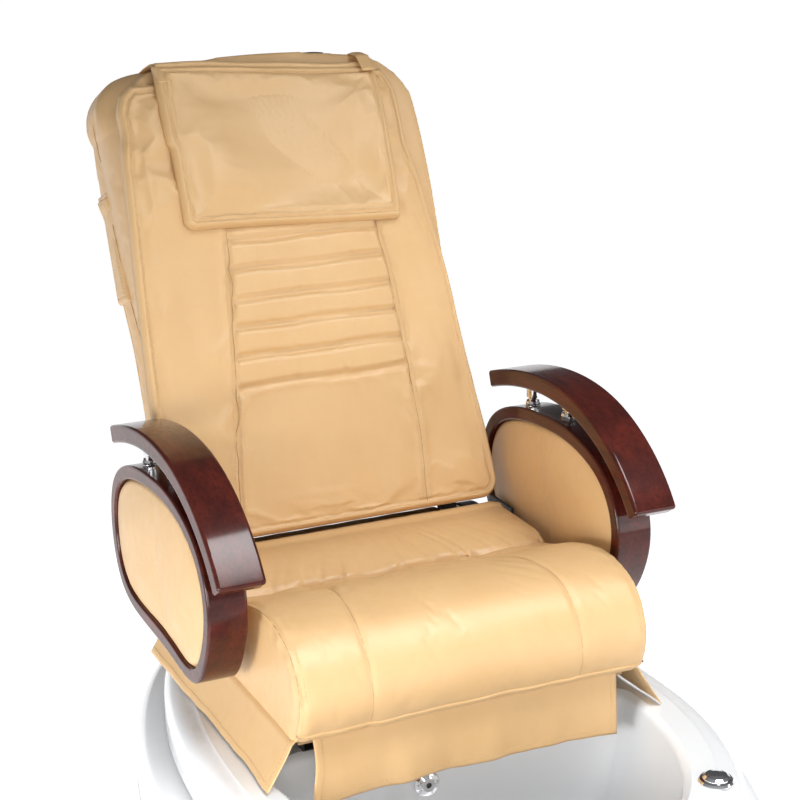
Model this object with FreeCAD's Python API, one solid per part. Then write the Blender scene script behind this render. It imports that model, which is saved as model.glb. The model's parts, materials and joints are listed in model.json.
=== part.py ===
"""Pedicure spa chair: an oval foot-bath base with a sliding, reclining massage seat on it.

Row frame, millimetres: +Z up, the sitter faces -Y, +X is the sitter's left.
The origin is on the floor under the centre of the overall box.
Y positions are worked out from the hip corner, where the seat top meets the backrest."""
import FreeCAD
import Part
import math
import os

V = FreeCAD.Vector
UP = V(0, 0, 1)

# ---- driving dimensions ---------------------------------------------------
HIP_Y = 255.85           # hip corner, from the centre of the overall box
SEAT_Z = 672.0           # top of the seat at the hip corner
RECLINE = 21.0           # backrest lean from vertical at rest, degrees
DECK_Z = 486.0           # flat top of the tub's rim and of the deck under the seat

RIM_HALF = 395.0         # rim outline: half width and how far it reaches fore and aft
RIM_FRONT = 515.0
RIM_REAR = 736.0
RIM_CENTRE_Y = HIP_Y - 418.0
BULGE = 50.0             # how far the lower shell stands out beyond the rim
SHELL = 6.0              # thickness of the moulded shells

BASIN_HALF = 302.0       # foot basin at the rim
BASIN_FRONT = 392.0
BASIN_REAR = 62.0
BASIN_CENTRE_Y = HIP_Y - 428.0
BASIN_SHRINK = 66.0      # how much smaller its floor is, all round
BASIN_FLOOR_Z = 172.0

SEAT_HALF = 286.0
BOARD_Z = 541.0          # underside of the seat board
BOARD_T = 15.0
FRAME_TUBE = 30.0        # square tube of the seat frame
RAIL_X = 170.0
RAIL_H = 12.0

ARM_IN = 308.0           # inner and outer faces of the arm's bentwood ring
ARM_OUT = 370.0
RING_T = 23.0            # thickness of the bentwood band
CAP_IN = 301.0
CAP_OUT = 375.0
CAP_T = 29.0
PIVOT_Y = HIP_Y + 30.0   # arm lift pivot
PIVOT_Z = 645.0
PIN_R = 8.0
RUNNING = 0.05           # radial clearance of a running fit

HINGE_Y = HIP_Y + 38.0   # backrest hinge
HINGE_Z = 566.0
BACK_LENGTH = 790.0      # along the backrest from the hip corner
BACK_DEPTH = 200.0
LEVER = 65.5             # recline lever below the hinge

OUT = "parts"


# ---- helpers --------------------------------------------------------------
def box(x0, x1, y0, y1, z0, z1):
    """Box between two values on each axis."""
    return Part.makeBox(x1 - x0, y1 - y0, z1 - z0, V(x0, y0, z0))


def rod(radius, start, end):
    """Solid cylinder from one point to another."""
    axis = end - start
    return Part.makeCylinder(radius, axis.Length, start, axis)


def turned(profile, origin, axis):
    """Solid of revolution: profile is (radius, height) points, height runs along axis."""
    points = [V(r, 0, h) for r, h in profile]
    face = Part.Face(Part.makePolygon(points + points[:1]))
    solid = face.revolve(V(0, 0, 0), V(0, 0, 1), 360)
    solid.Placement = FreeCAD.Placement(origin, FreeCAD.Rotation(V(0, 0, 1), axis))
    return solid


def tube_box(x0, x1, y0, y1, z0, z1, wall=2.0):
    """Rectangular steel tube, open along its longest side."""
    outer = box(x0, x1, y0, y1, z0, z1)
    dx, dy, dz = x1 - x0, y1 - y0, z1 - z0
    long_side = max(dx, dy, dz)
    gx, gy, gz = (0 if d == long_side else wall for d in (dx, dy, dz))
    return outer.cut(box(x0 + gx, x1 - gx, y0 + gy, y1 - gy, z0 + gz, z1 - gz))


def loop(points):
    """Closed smooth wire through the points."""
    curve = Part.BSplineCurve()
    curve.interpolate(Points=points, PeriodicFlag=True)
    return Part.Wire([curve.toShape()])


def yz_loop(points, x, offset=0.0):
    """Closed smooth wire in the plane at x; offset > 0 moves every point inwards along its normal."""
    shifted = []
    for i, (y, z) in enumerate(points):
        y0, z0 = points[i - 1]
        y1, z1 = points[(i + 1) % len(points)]
        ty, tz = y1 - y0, z1 - z0
        size = math.hypot(ty, tz)
        shifted.append(V(x, y - offset * tz / size, z + offset * ty / size))
    return loop(shifted)


def slab(wire, x0, x1):
    """Extrudes a wire in the plane at x0 along X to x1."""
    return Part.Face(wire).extrude(V(x1 - x0, 0, 0))


def rounded(shape, radius, chosen):
    """Fillets the edges that chosen() picks; keeps the plain shape if that fails."""
    edges = [e for e in shape.Edges if chosen(e)]
    try:
        filleted = shape.makeFillet(radius, edges)
        return filleted if filleted.isValid() and filleted.Volume > 0 else shape
    except Exception:
        print("fillet skipped")
        return shape


def mirrored(shape):
    """The same shape on the other side of the chair."""
    return shape.mirror(V(0, 0, 0), V(1, 0, 0))


def save(name, *shapes):
    """Writes one node's solids to its STEP file and prints their extent."""
    shape = shapes[0] if len(shapes) == 1 else Part.makeCompound(list(shapes))
    assert shape.isValid(), name
    shape.exportStep(os.path.join(OUT, name + ".step"))
    b = shape.optimalBoundingBox(False)
    print(f"{name:26s} x {b.XMin:7.1f} {b.XMax:7.1f}  y {b.YMin:7.1f} {b.YMax:7.1f}  "
          f"z {b.ZMin:7.1f} {b.ZMax:7.1f}  solids {len(shape.Solids)}")


def rim_egg(grow, z):
    """Plan outline of the base: half an ellipse in front of its widest line, half a longer one behind."""
    half, front, rear = RIM_HALF + grow, RIM_FRONT + grow, RIM_REAR + grow
    centre = V(0, RIM_CENTRE_Y, z)
    edges = []
    for reach, start in ((-front, 0), (rear, 0)):
        ellipse = Part.Ellipse(centre + V(0, reach, 0), centre + V(half, 0, 0), centre)
        edges.append(Part.Arc(ellipse, start - math.pi / 2, start + math.pi / 2).toShape())
    return Part.Wire(edges)


def basin_point(angle, z, grow=0.0):
    """Point on the basin's wall; the walls lean in towards its floor."""
    share = (DECK_Z - z) / (DECK_Z - BASIN_FLOOR_Z)
    half = BASIN_HALF + grow - BASIN_SHRINK * share
    c, s = math.cos(angle), math.sin(angle)
    if s < 0:
        power, reach = 2.1, BASIN_FRONT + grow - BASIN_SHRINK * share
    else:
        power, reach = 3.2, BASIN_REAR + grow - 0.35 * BASIN_SHRINK * share
    return V(half * math.copysign(abs(c) ** (2 / power), c),
             BASIN_CENTRE_Y + reach * math.copysign(abs(s) ** (2 / power), s), z)


def basin_egg(grow, z):
    """Basin outline at height z: D-shaped, flat towards the seat and round towards the sitter's toes."""
    count = 36
    return loop([basin_point(2 * math.pi * (i + 0.5) / count, z, grow) for i in range(count)])


def basin_wall(degrees, z):
    """Point on the basin's inner wall and the wall's normal there, pointing into the basin."""
    a, step = math.radians(degrees), 0.01
    point = basin_point(a, z)
    along = basin_point(a + step, z) - basin_point(a - step, z)
    up = basin_point(a, z + 5) - basin_point(a, z - 5)
    normal = along.cross(up).normalize()
    inward = V(0, BASIN_CENTRE_Y - 150, z) - point
    return point, normal if normal.dot(inward) > 0 else normal * -1


# ---- base -----------------------------------------------------------------
GROOVE_Z = 424.0         # shadow gap between the tub and the lower shell
TIER_Z = 330.0           # styling groove round the lower shell
SHELL_FOOT_Z = 30.0
JETS = ((91.6, 387), (-12, 300), (192, 300), (-50, 290), (230, 290))   # wall angle in degrees, height
JET_R = 21.0
JET_HOLE_R = 14.0
DRAIN = V(0, BASIN_CENTRE_Y - 150, BASIN_FLOOR_Z)
DRAIN_R = 22.0
PIPE_R = 20.0
PIPE_Z = 84.0
INLET_R = 10.48
INLET_X = (-70.0, -110.0)
PANEL_HALF = 150.0
PANEL_Z = (60.0, 300.0)
SCREW_R = 5.0
SCREW_INSET = 14.0
SCREW_SPOTS = [(x, z) for x in (-PANEL_HALF + SCREW_INSET, PANEL_HALF - SCREW_INSET)
               for z in (PANEL_Z[0] + 60, PANEL_Z[1] - SCREW_INSET)]
BUTTON = V(268.0, BASIN_CENTRE_Y - 285.0, DECK_Z - 2.5)
TAP = V(0.0, BASIN_CENTRE_Y - 446.0, DECK_Z)
SHOWER = V(-118.0, BASIN_CENTRE_Y - 422.0, DECK_Z)
FOOTREST = V(0.0, BASIN_CENTRE_Y - 232.0, BASIN_FLOOR_Z + 0.2)
REAR_Y = RIM_CENTRE_Y + RIM_REAR + BULGE
FITTING_HOLE_R = 17.0    # holes in the rim for the button, the tap and the shower socket
SPIGOT_R = 16.5          # the spigots that stand in them, and how deep they go
SPIGOT_Z = -24.0


def tub_moulding():
    """Rim, deck and foot basin in one moulding."""
    outer = ((0, GROOVE_Z), (0, 444), (-1.5, 461), (-8, 474), (-20, 482), (-44, DECK_Z))
    inner = ((-SHELL, GROOVE_Z - 1), (-SHELL, 444), (-9, 458), (-26, 475), (-52, DECK_Z - SHELL))
    deck = skin(outer).cut(skin(inner))
    lip_z = DECK_Z - 14
    lip = ((14, DECK_Z + 4), (8, DECK_Z - 0.5), (2.5, DECK_Z - 5), (0, lip_z))
    outside = ((SHELL, DECK_Z - 3), (SHELL, BASIN_FLOOR_Z + 40), (-6, BASIN_FLOOR_Z + 4),
               (-26, BASIN_FLOOR_Z - SHELL))
    inside = ((0, lip_z), (0, BASIN_FLOOR_Z + 40), (-10, BASIN_FLOOR_Z + 10), (-30, BASIN_FLOOR_Z))
    mouth = Part.makeLoft([basin_egg(g, z) for g, z in lip], True, False)
    bowl = Part.makeLoft([basin_egg(g, z) for g, z in outside], True, True)
    hollow = Part.makeLoft([basin_egg(g, z) for g, z in inside], True, True)
    tub = deck.fuse(bowl).cut(hollow.fuse(mouth))
    for angle, z in JETS:
        p, n = basin_wall(angle, z)
        tub = tub.cut(rod(JET_HOLE_R + 1, p - n * 30, p + n * 20))
    through = V(0, 0, 20)
    tub = tub.cut(rod(DRAIN_R + 1, DRAIN - through, DRAIN + through))
    for fitting in (BUTTON, TAP, SHOWER):
        tub = tub.cut(rod(FITTING_HOLE_R, fitting - through, fitting + through))
    return tub


SHELL_LOW = ((BULGE, TIER_Z - 7), (BULGE - 6, 220), (BULGE - 20, 110), (BULGE - 34, SHELL_FOOT_Z))


def skin(sections, grow=0.0):
    """Solid through base outlines, each given as (how far beyond the rim, height)."""
    return Part.makeLoft([rim_egg(g + grow, z) for g, z in sections], True, False)


def lower_shell():
    """Outer shell of the base, in two bulging tiers with a groove between them."""
    upper = skin(((-12, GROOVE_Z - 2), (16, 419), (36, 408), (46, 390), (BULGE, 365),
                  (BULGE - 1, TIER_Z + 7)))
    neck = skin(((BULGE - 7, TIER_Z + 8), (BULGE - 7, TIER_Z - 8)))
    lower = skin(SHELL_LOW)
    hollow = skin(((-30, GROOVE_Z - 8), (8, 411), (28, 401), (37, 384), (BULGE - 13, 360),
                   (BULGE - 13, TIER_Z)))
    hollow_low = skin(((BULGE - 13, TIER_Z + 6), (BULGE - 13, 270), (BULGE - 15, 200), (BULGE - 27, 110),
                       (BULGE - 41, SHELL_FOOT_Z - 1)))
    shell = upper.fuse(neck).fuse(lower).cut(hollow).cut(hollow_low)
    shell = shell.cut(skin(((-26, GROOVE_Z + 5), (-26, GROOVE_Z - 20))))
    z0, z1 = PANEL_Z
    return shell.cut(box(-PANEL_HALF - 1, PANEL_HALF + 1, REAR_Y - 160, REAR_Y + 20, z0 - 1, z1 + 1))


def access_panel():
    """Removable cover in the opening at the lower shell's rear, bored for the pipes and the screws."""
    z0, z1 = PANEL_Z
    opening = box(-PANEL_HALF, PANEL_HALF, REAR_Y - 160, REAR_Y + 20, z0, z1)
    panel = skin(SHELL_LOW).common(opening).cut(skin(SHELL_LOW, -4))
    bores = [(0, PIPE_Z, PIPE_R + 2)] + [(x, PIPE_Z, INLET_R + 5) for x in INLET_X]
    bores += [(x, z, SCREW_R + 0.1) for x, z in SCREW_SPOTS]
    for x, z, radius in bores:
        panel = panel.cut(rod(radius, V(x, REAR_Y - 160, z), V(x, REAR_Y + 60, z)))
    return panel


def panel_screws():
    """Pan-head screws at the panel's corners, standing 2 mm proud of it."""
    screws = []
    for x, z in SCREW_SPOTS:
        line = Part.makeLine(V(x, 0, z), V(x, REAR_Y + 60, z))
        face_y = max(v.Y for v in skin(SHELL_LOW).common(line).Vertexes)
        screws.append(rod(SCREW_R, V(x, face_y - 6, z), V(x, face_y + 2, z)))
    return screws


CHASSIS_Z = (34.0, 64.0)
CROSS_Y = (-330.0, 90.0, 420.0)      # cross tubes, from the widest line of the rim
FOOT_SPOTS = [(sx * 230, RIM_CENTRE_Y + dy) for sx in (-1, 1) for dy in (-300, 60, 420)]
POST_X = 200.0


def chassis_frame():
    """Welded floor frame of square tube, with four posts that carry the seat rails."""
    z0, z1 = CHASSIS_Z
    y0, y1 = RIM_CENTRE_Y - 330, RIM_CENTRE_Y + 450
    frame = tube_box(-245, -215, y0, y1, z0, z1).fuse(tube_box(215, 245, y0, y1, z0, z1))
    front, middle, rear = (RIM_CENTRE_Y + dy for dy in CROSS_Y)
    for y in (front, middle, rear):
        frame = frame.fuse(tube_box(-215, 215, y, y + FRAME_TUBE, z0, z1))
    top = DECK_Z - SHELL - 0.5
    for y in (middle, rear):
        for x in (-POST_X, POST_X - FRAME_TUBE):
            frame = frame.fuse(tube_box(x, x + FRAME_TUBE, y, y + FRAME_TUBE, z1, top))
    for x in (-POST_X, POST_X - FRAME_TUBE):
        frame = frame.fuse(tube_box(x, x + FRAME_TUBE, middle + FRAME_TUBE, rear, top - FRAME_TUBE, top))
    return frame


def levelling_feet():
    """Screw feet under the floor frame."""
    profile = ((0, 0), (26, 0), (26, 5), (20, 12), (8, 16), (8, CHASSIS_Z[0]), (0, CHASSIS_Z[0]))
    return [turned(profile, V(x, y, 0), UP) for x, y in FOOT_SPOTS]


def lower_rails():
    """C-section rails screwed to the deck; the seat's rails run in them."""
    rails = []
    for x in (-RAIL_X, RAIL_X):
        rail = box(x - 24, x + 24, HIP_Y - 330, HIP_Y + 40, DECK_Z, DECK_Z + RAIL_H)
        rail = rail.cut(box(x - 20, x + 20, HIP_Y - 331, HIP_Y + 41, DECK_Z + 3, DECK_Z + RAIL_H - 2.5))
        rails.append(rail.cut(box(x - 12, x + 12, HIP_Y - 331, HIP_Y + 41, DECK_Z + 3, DECK_Z + RAIL_H + 1)))
    return rails


ACT_Z = DECK_Z + 14.5    # height of both actuators, between the deck and the seat board
ACT_X = 60.0             # the slide actuator on the right, the recline actuator on the left
ACT_TUBE_R = 13.0
ACT_ROD_R = 8.0


def slide_actuator_body():
    """Motor, gearbox and outer tube that push the seat along its rails."""
    y, mouth_y = HIP_Y - 300, HIP_Y - 112
    tube = rod(ACT_TUBE_R, V(-ACT_X, y + 40, ACT_Z), V(-ACT_X, mouth_y, ACT_Z))
    tube = tube.cut(rod(ACT_ROD_R + RUNNING, V(-ACT_X, y + 41, ACT_Z), V(-ACT_X, mouth_y + 2, ACT_Z)))
    gearbox = box(-ACT_X - 18, -ACT_X + 18, y, y + 40, DECK_Z, ACT_Z + 16)
    motor = rod(14, V(-ACT_X + 18, y + 20, ACT_Z + 1), V(26, y + 20, ACT_Z + 1))
    saddle = box(-ACT_X - 10, -ACT_X + 10, mouth_y - 38, mouth_y - 18, DECK_Z, ACT_Z - 12)
    return tube.fuse(gearbox).fuse(motor).fuse(saddle)


PUMP = V(60.0, RIM_CENTRE_Y + 230.0, 160.0)      # on the pump's axis, where motor and volute meet
OUTLET = PUMP + V(-48.0, -34.0, 0.0)             # axis of the volute's outlet, which points up


def pump():
    """Bath pump: motor can on a foot, and the volute on its front."""
    foot = box(PUMP.x - 40, PUMP.x + 40, PUMP.y + 20, PUMP.y + 130, CHASSIS_Z[1], 110)
    motor = rod(58, PUMP, PUMP + V(0, 150, 0)).fuse(foot)
    volute = rod(72, PUMP + V(0, -64, 0), PUMP + V(0, -2, 0))
    inlet = rod(22, PUMP + V(0, -110, 0), PUMP + V(0, -60, 0))
    return motor, volute.fuse(inlet).fuse(rod(20, OUTLET, OUTLET + V(0, 0, 100)))


def elbow(radius, start, corner, end):
    """Two straight runs of pipe with a ball where they meet."""
    return rod(radius, start, corner).fuse(Part.makeSphere(radius, corner)).fuse(rod(radius, corner, end))


def pipework():
    """Rigid pipes: pump delivery and suction manifolds, drain trap with its tail, two inlet tails."""
    basin_back = BASIN_CENTRE_Y + 74
    bend = V(PUMP.x, basin_back, PUMP.z)
    pieces = [elbow(16, PUMP + V(0, -112, 0), bend, bend + V(0, 0, 76))]
    top = OUTLET + V(0, 0, 102)
    bend = top + V(0, 0, 60)
    pieces.append(elbow(14, top, bend, V(bend.x, basin_back + 22, bend.z)))
    mouth = DRAIN - V(0, 0, 26.3)
    tail = V(0, REAR_Y - 15, PIPE_Z)
    end = V(0, REAR_Y + 30, PIPE_Z)
    trap = elbow(PIPE_R - 1.5, mouth, V(0, DRAIN.y, PIPE_Z), tail).fuse(rod(PIPE_R, tail, end))
    trap = trap.cut(rod(PIPE_R - 4, mouth + V(0, 0, 1), mouth - V(0, 0, 22)))
    pieces.append(trap.cut(rod(PIPE_R - 4, end - V(0, 80, 0), end + V(0, 1, 0))))
    for x in INLET_X:
        thread = rod(INLET_R, V(x, REAR_Y - 16, PIPE_Z), V(x, REAR_Y + 16, PIPE_Z))
        stub = thread.fuse(rod(INLET_R - 1.5, V(x, REAR_Y - 60, PIPE_Z), V(x, REAR_Y - 16, PIPE_Z)))
        pieces.append(stub.cut(rod(INLET_R - 3.5, V(x, REAR_Y - 40, PIPE_Z), V(x, REAR_Y + 17, PIPE_Z))))
    return pieces


def jets():
    """Chrome jet faces inside the basin, and the plastic bodies that clamp them behind the wall."""
    spigot, behind = -8.0, -SHELL - 1.5
    face_profile = ((4.5, spigot), (JET_HOLE_R, spigot), (JET_HOLE_R, 1.2), (JET_R, 1.2), (JET_R, 2.6),
                    (18, 6), (11, 9), (4.5, 9))
    body_profile = ((0, -48), (12, -48), (12, -30), (22, -30), (22, behind), (JET_HOLE_R, behind),
                    (JET_HOLE_R, spigot - 0.2), (0, spigot - 0.2))
    holes, ring = 8, 14.2
    faces, bodies = [], []
    for angle, z in JETS:
        p, n = basin_wall(angle, z)
        face = turned(face_profile, p, n)
        side = n.cross(UP).normalize()
        up = side.cross(n)
        for k in range(holes):
            a = 2 * math.pi * (k + 0.5) / holes
            spot = p + side * (ring * math.cos(a)) + up * (ring * math.sin(a))
            face = face.cut(rod(1.4, spot + n * 3, spot + n * 12))
        faces.append(face)
        bodies.append(turned(body_profile, p, n))
    return faces, bodies


def suction_cover():
    """Round slotted guard low on the basin's rear wall."""
    p, n = basin_wall(83, 268)
    guard = turned(((0, 1.6), (32, 1.6), (32, 5), (27, 9), (0, 9)), p, n)
    side = n.cross(UP).normalize()
    up = side.cross(n)
    for row in range(-2, 3):
        centre = p + up * (row * 9.0)
        half = 24 - abs(row) * 4
        slot = rod(1.8, centre - side * half + n * 9, centre + side * half + n * 9)
        guard = guard.cut(slot)
    return guard


def drain():
    """Flanged waste in the basin floor, and its push-down plug."""
    stem_r, drop = 4.0, V(0, 0, 30)
    profile = ((19, -26), (DRAIN_R, -26), (DRAIN_R, 0.3), (34, 0.3), (34, 2.5), (24, 3.5), (19, 2.5))
    seat = rod(19.5, DRAIN + V(0, 0, -26), DRAIN + V(0, 0, -23))
    seat = seat.cut(rod(stem_r + RUNNING, DRAIN - drop, DRAIN))
    for k in range(4):
        a = math.pi / 4 + k * math.pi / 2
        hole = DRAIN + V(12 * math.cos(a), 12 * math.sin(a), 0)
        seat = seat.cut(rod(5, hole - drop, hole))
    flange = turned(profile, DRAIN, UP).fuse(seat)
    profile = ((0, -30), (stem_r, -30), (stem_r, 6), (22, 6), (24, 7.5), (22, 10), (10, 12), (0, 12.5))
    return flange, turned(profile, DRAIN, UP)


def air_button():
    """Chrome bezel in the rim and the domed push button in it."""
    bezel = ((12.1, SPIGOT_Z), (SPIGOT_R, SPIGOT_Z), (SPIGOT_R, 2.6), (26, 2.6), (26, 4.5), (24, 7.5),
             (20.5, 8.5), (20.5, 5.5), (12.1, 5.5))
    button = ((0, -22), (12, -22), (12, 9), (20, 9), (20, 10.5), (16, 13.5), (9, 15.3), (0, 16))
    return turned(bezel, BUTTON, UP), turned(button, BUTTON, UP)


def tap():
    """Single-lever mixer on the rim's front: body with spout, swivelling stem and lifting lever."""
    stem_r, pin_r, hub_half = 9.0, 2.5, 4.7
    profile = ((0, SPIGOT_Z), (SPIGOT_R, SPIGOT_Z), (SPIGOT_R, 0.3), (27, 0.3), (27, 5), (21, 9), (20, 46),
               (17, 50), (0, 50))
    nose = TAP + V(0, 92, 40)
    body = turned(profile, TAP, UP).fuse(elbow(11, TAP + V(0, 8, 30), nose, nose - V(0, 0, 16)))
    body = body.cut(rod(7.5, nose - V(0, 0, 20), nose - V(0, 0, 8)))
    body = body.cut(rod(stem_r + RUNNING, TAP + V(0, 0, 34), TAP + V(0, 0, 60)))
    stem = turned(((0, 35), (stem_r, 35), (stem_r, 50.5), (19, 50.5), (19, 56), (0, 56)), TAP, UP)
    ear = box(5, 9, TAP.y - 7, TAP.y + 7, TAP.z + 55, TAP.z + 72)
    pivot = TAP + V(0, 0, 66)
    stem = stem.fuse(ear).fuse(mirrored(ear)).fuse(rod(pin_r, pivot - V(9, 0, 0), pivot + V(9, 0, 0)))
    hub = rod(7, pivot - V(hub_half, 0, 0), pivot + V(hub_half, 0, 0))
    lever = box(-hub_half, hub_half, TAP.y - 70, TAP.y, pivot.z - 2, pivot.z + 5).fuse(hub)
    lever = lever.cut(rod(pin_r + RUNNING, pivot - V(6, 0, 0), pivot + V(6, 0, 0)))
    return body, stem, lever


def shower():
    """Socket in the rim and the hand shower that stands in it."""
    handle_r = 11.0
    bore = handle_r + 0.2
    profile = ((bore, SPIGOT_Z), (SPIGOT_R, SPIGOT_Z), (SPIGOT_R, 0.3), (25, 0.3), (25, 4), (20, 14),
               (bore, 14))
    socket = turned(profile, SHOWER, UP)
    profile = ((0, -20), (handle_r, -20), (handle_r, 16), (12.5, 40), (14, 66), (10, 74), (0, 76))
    handle = turned(profile, SHOWER, UP)
    head = turned(((0, -4), (24, -4), (26, 3), (20, 12), (0, 14)), SHOWER + V(0, 12, 72), V(0, -0.8, 0.6))
    return socket, handle.fuse(head)


def footrest():
    """Telescopic post on the basin floor with a padded top."""
    post_r, plate_z, pad_t = 16.0, FOOTREST.z + 206, 36.0
    bore = post_r + RUNNING
    base = turned(((bore, 0), (44, 0), (44, 6), (24, 12), (24, 150), (bore, 150)), FOOTREST, UP)
    post = rod(post_r, FOOTREST + V(0, 0, 20), V(FOOTREST.x, FOOTREST.y, plate_z))
    pad_z = plate_z + 6
    plate = box(-70, 70, FOOTREST.y - 38, FOOTREST.y + 38, plate_z, pad_z)
    pad = box(-82, 82, FOOTREST.y - 48, FOOTREST.y + 48, pad_z, pad_z + pad_t)
    pad = rounded(pad, 16, lambda e: e.BoundBox.ZMin > pad_z + pad_t - 1 or e.BoundBox.ZLength > pad_t - 1)
    return base, post.fuse(plate), pad


# ---- seat -----------------------------------------------------------------
SEAT_FRONT_Y = HIP_Y - 455.0
FLAP_LOW_X = 322.0
FLAP_LOW_Z = DECK_Z + 4.0
FLAP_T = 2.0
FRONT_FLAP_DROP = 103.5
BRACKET_Y = (PIVOT_Y - 60, PIVOT_Y - 22)
BRACKET_T = 5.0


def seat_frame():
    """Rectangular tube frame with rear ears for the backrest hinge."""
    z0, z1 = BOARD_Z - FRAME_TUBE, BOARD_Z
    y0, y1 = SEAT_FRONT_Y + 40, HIP_Y + 8
    frame = tube_box(-250, -220, y0, y1, z0, z1).fuse(tube_box(220, 250, y0, y1, z0, z1))
    for y in (y0, y1 - 2 * FRAME_TUBE):
        frame = frame.fuse(tube_box(-220, 220, y, y + FRAME_TUBE, z0, z1))
    ear = box(220, 226, HIP_Y - 20, HINGE_Y + 16, z0, z1 - 0.5)
    ear = ear.fuse(box(220, 226, HIP_Y + 9, HINGE_Y + 16, z1 - 2, HINGE_Z + 16))
    ear = ear.cut(rod(PIN_R + RUNNING, V(200, HINGE_Y, HINGE_Z), V(240, HINGE_Y, HINGE_Z)))
    return frame.fuse(ear).fuse(mirrored(ear))


def upper_rails():
    """T-section runners under the seat frame."""
    rails = []
    for x in (-RAIL_X, RAIL_X):
        foot = box(x - 19, x + 19, HIP_Y - 250, HIP_Y - 40, DECK_Z + 3.5, DECK_Z + RAIL_H - 3)
        web = box(x - 11, x + 11, HIP_Y - 250, HIP_Y - 40, DECK_Z + 3.5, DECK_Z + RAIL_H + 1)
        strip = box(x - 20, x + 20, SEAT_FRONT_Y + 40, HIP_Y + 8, DECK_Z + RAIL_H + 1, BOARD_Z - FRAME_TUBE)
        rails.append(foot.fuse(web).fuse(strip))
    return rails


def seat_cushion():
    """Foam seat: rear pan, cross crease and a rolled front."""
    foot_z = BOARD_Z + BOARD_T
    pan = [V(-SEAT_HALF, HIP_Y + y, z) for y, z in
           ((4, foot_z), (4, SEAT_Z - 10), (-8, SEAT_Z), (-150, SEAT_Z), (-182, SEAT_Z - 8))]
    front = [V(-SEAT_HALF, HIP_Y + y, z) for y, z in
             ((-280, 700), (-375, 717), (-458, 690), (-494, 630), (-472, foot_z))]
    roll = Part.BSplineCurve()
    roll.interpolate(Points=pan[-1:] + front)
    edges = [Part.makeLine(a, b) for a, b in zip(pan, pan[1:])] + [roll.toShape()]
    edges.append(Part.makeLine(front[-1], pan[0]))
    cushion = Part.Face(Part.Wire(edges)).extrude(V(2 * SEAT_HALF, 0, 0))
    notch = box(221, SEAT_HALF + 1, BRACKET_Y[0] - 1, HIP_Y + 5, foot_z - 1, foot_z + BRACKET_T + 0.5)
    return cushion.cut(notch).cut(mirrored(notch))


def side_flap():
    """Leather skirt down the seat's left side, splayed out over the rim."""
    top_x, top_z = SEAT_HALF - 2, BOARD_Z + BOARD_T - 0.5
    y0, y1 = SEAT_FRONT_Y - 12, HIP_Y + 60
    section = [V(top_x, y0, top_z), V(top_x + 12, y0, top_z - 34), V(FLAP_LOW_X, y0, FLAP_LOW_Z)]
    curve = Part.BSplineCurve()
    curve.interpolate(Points=section)
    outer = curve.toShape()
    thick = V(FLAP_T, 0, 0)
    inner = outer.translated(-thick)
    a, b = outer.Vertexes[0].Point, outer.Vertexes[-1].Point
    wire = Part.Wire([outer, Part.makeLine(b, b - thick), inner, Part.makeLine(a - thick, a)])
    return Part.Face(wire).extrude(V(0, y1 - y0, 0))


def front_flap():
    """Leather skirt under the seat's front edge."""
    y = SEAT_FRONT_Y
    top_z = BOARD_Z + BOARD_T - 0.5
    return box(-255, 255, y - FLAP_T, y, top_z - FRONT_FLAP_DROP, top_z)


def arm_brackets():
    """Angle plates bolted down on the seat board, each with the pin its arm lifts on."""
    base = BOARD_Z + BOARD_T
    foot = box(222, 303, *BRACKET_Y, base, base + BRACKET_T)
    plate = box(303 - BRACKET_T, 303, PIVOT_Y - 60, PIVOT_Y + 22, base, PIVOT_Z + 22)
    pin = rod(PIN_R, V(300, PIVOT_Y, PIVOT_Z), V(344, PIVOT_Y, PIVOT_Z))
    bracket = foot.fuse(plate).fuse(pin)
    return bracket, mirrored(bracket)


def slide_rod():
    """Inner rod of the slide actuator, bolted under the seat frame's rear cross tube."""
    inner = rod(ACT_ROD_R, V(-ACT_X, HIP_Y - 197, ACT_Z), V(-ACT_X, HIP_Y - 36, ACT_Z))
    lug = box(-ACT_X - 10, -ACT_X + 10, HIP_Y - 48, HIP_Y - 34, ACT_Z - ACT_ROD_R, BOARD_Z - FRAME_TUBE)
    return inner.fuse(lug)


ROD_Y = HIP_Y - 60.0     # rear end of the recline motor's tube


def recline_motor():
    """Fixed half of the recline actuator, hung under the seat board."""
    y = SEAT_FRONT_Y + 140
    tube = rod(ACT_TUBE_R, V(ACT_X, y + 40, ACT_Z), V(ACT_X, ROD_Y, ACT_Z))
    tube = tube.cut(rod(ACT_ROD_R + RUNNING, V(ACT_X, y + 60, ACT_Z), V(ACT_X, ROD_Y + 5, ACT_Z)))
    gearbox = box(ACT_X - 18, ACT_X + 18, y, y + 40, ACT_Z - ACT_TUBE_R, BOARD_Z)
    motor = rod(14, V(ACT_X + 18, y + 20, ACT_Z + 3), V(140, y + 20, ACT_Z + 3))
    clamp = box(ACT_X - 10, ACT_X + 10, ROD_Y - 40, ROD_Y - 20, ACT_Z + ACT_ROD_R, BOARD_Z)
    return tube.fuse(gearbox).fuse(motor).fuse(clamp)


def recline_rod():
    """Moving rod of the recline actuator; a slotted fork at its end drives the backrest's lever pin."""
    tip = HINGE_Y
    fork = rod(ACT_ROD_R, V(ACT_X, ROD_Y - 90, ACT_Z), V(ACT_X, tip - 22, ACT_Z))
    fork = fork.fuse(box(ACT_X - 12, ACT_X + 12, tip - 24, tip - 14, ACT_Z - 9, ACT_Z + 9))
    low, high = HINGE_Z - LEVER - 10.5, HINGE_Z - LEVER + 23
    for x in (ACT_X - 12, ACT_X + 6):
        ear = box(x, x + 6, tip - 16, tip + 16, low, high)
        slot = box(x - 1, x + 7, tip - 9, tip + 9, low + 4, high - 4)
        fork = fork.fuse(ear.cut(slot))
    return fork


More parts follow.
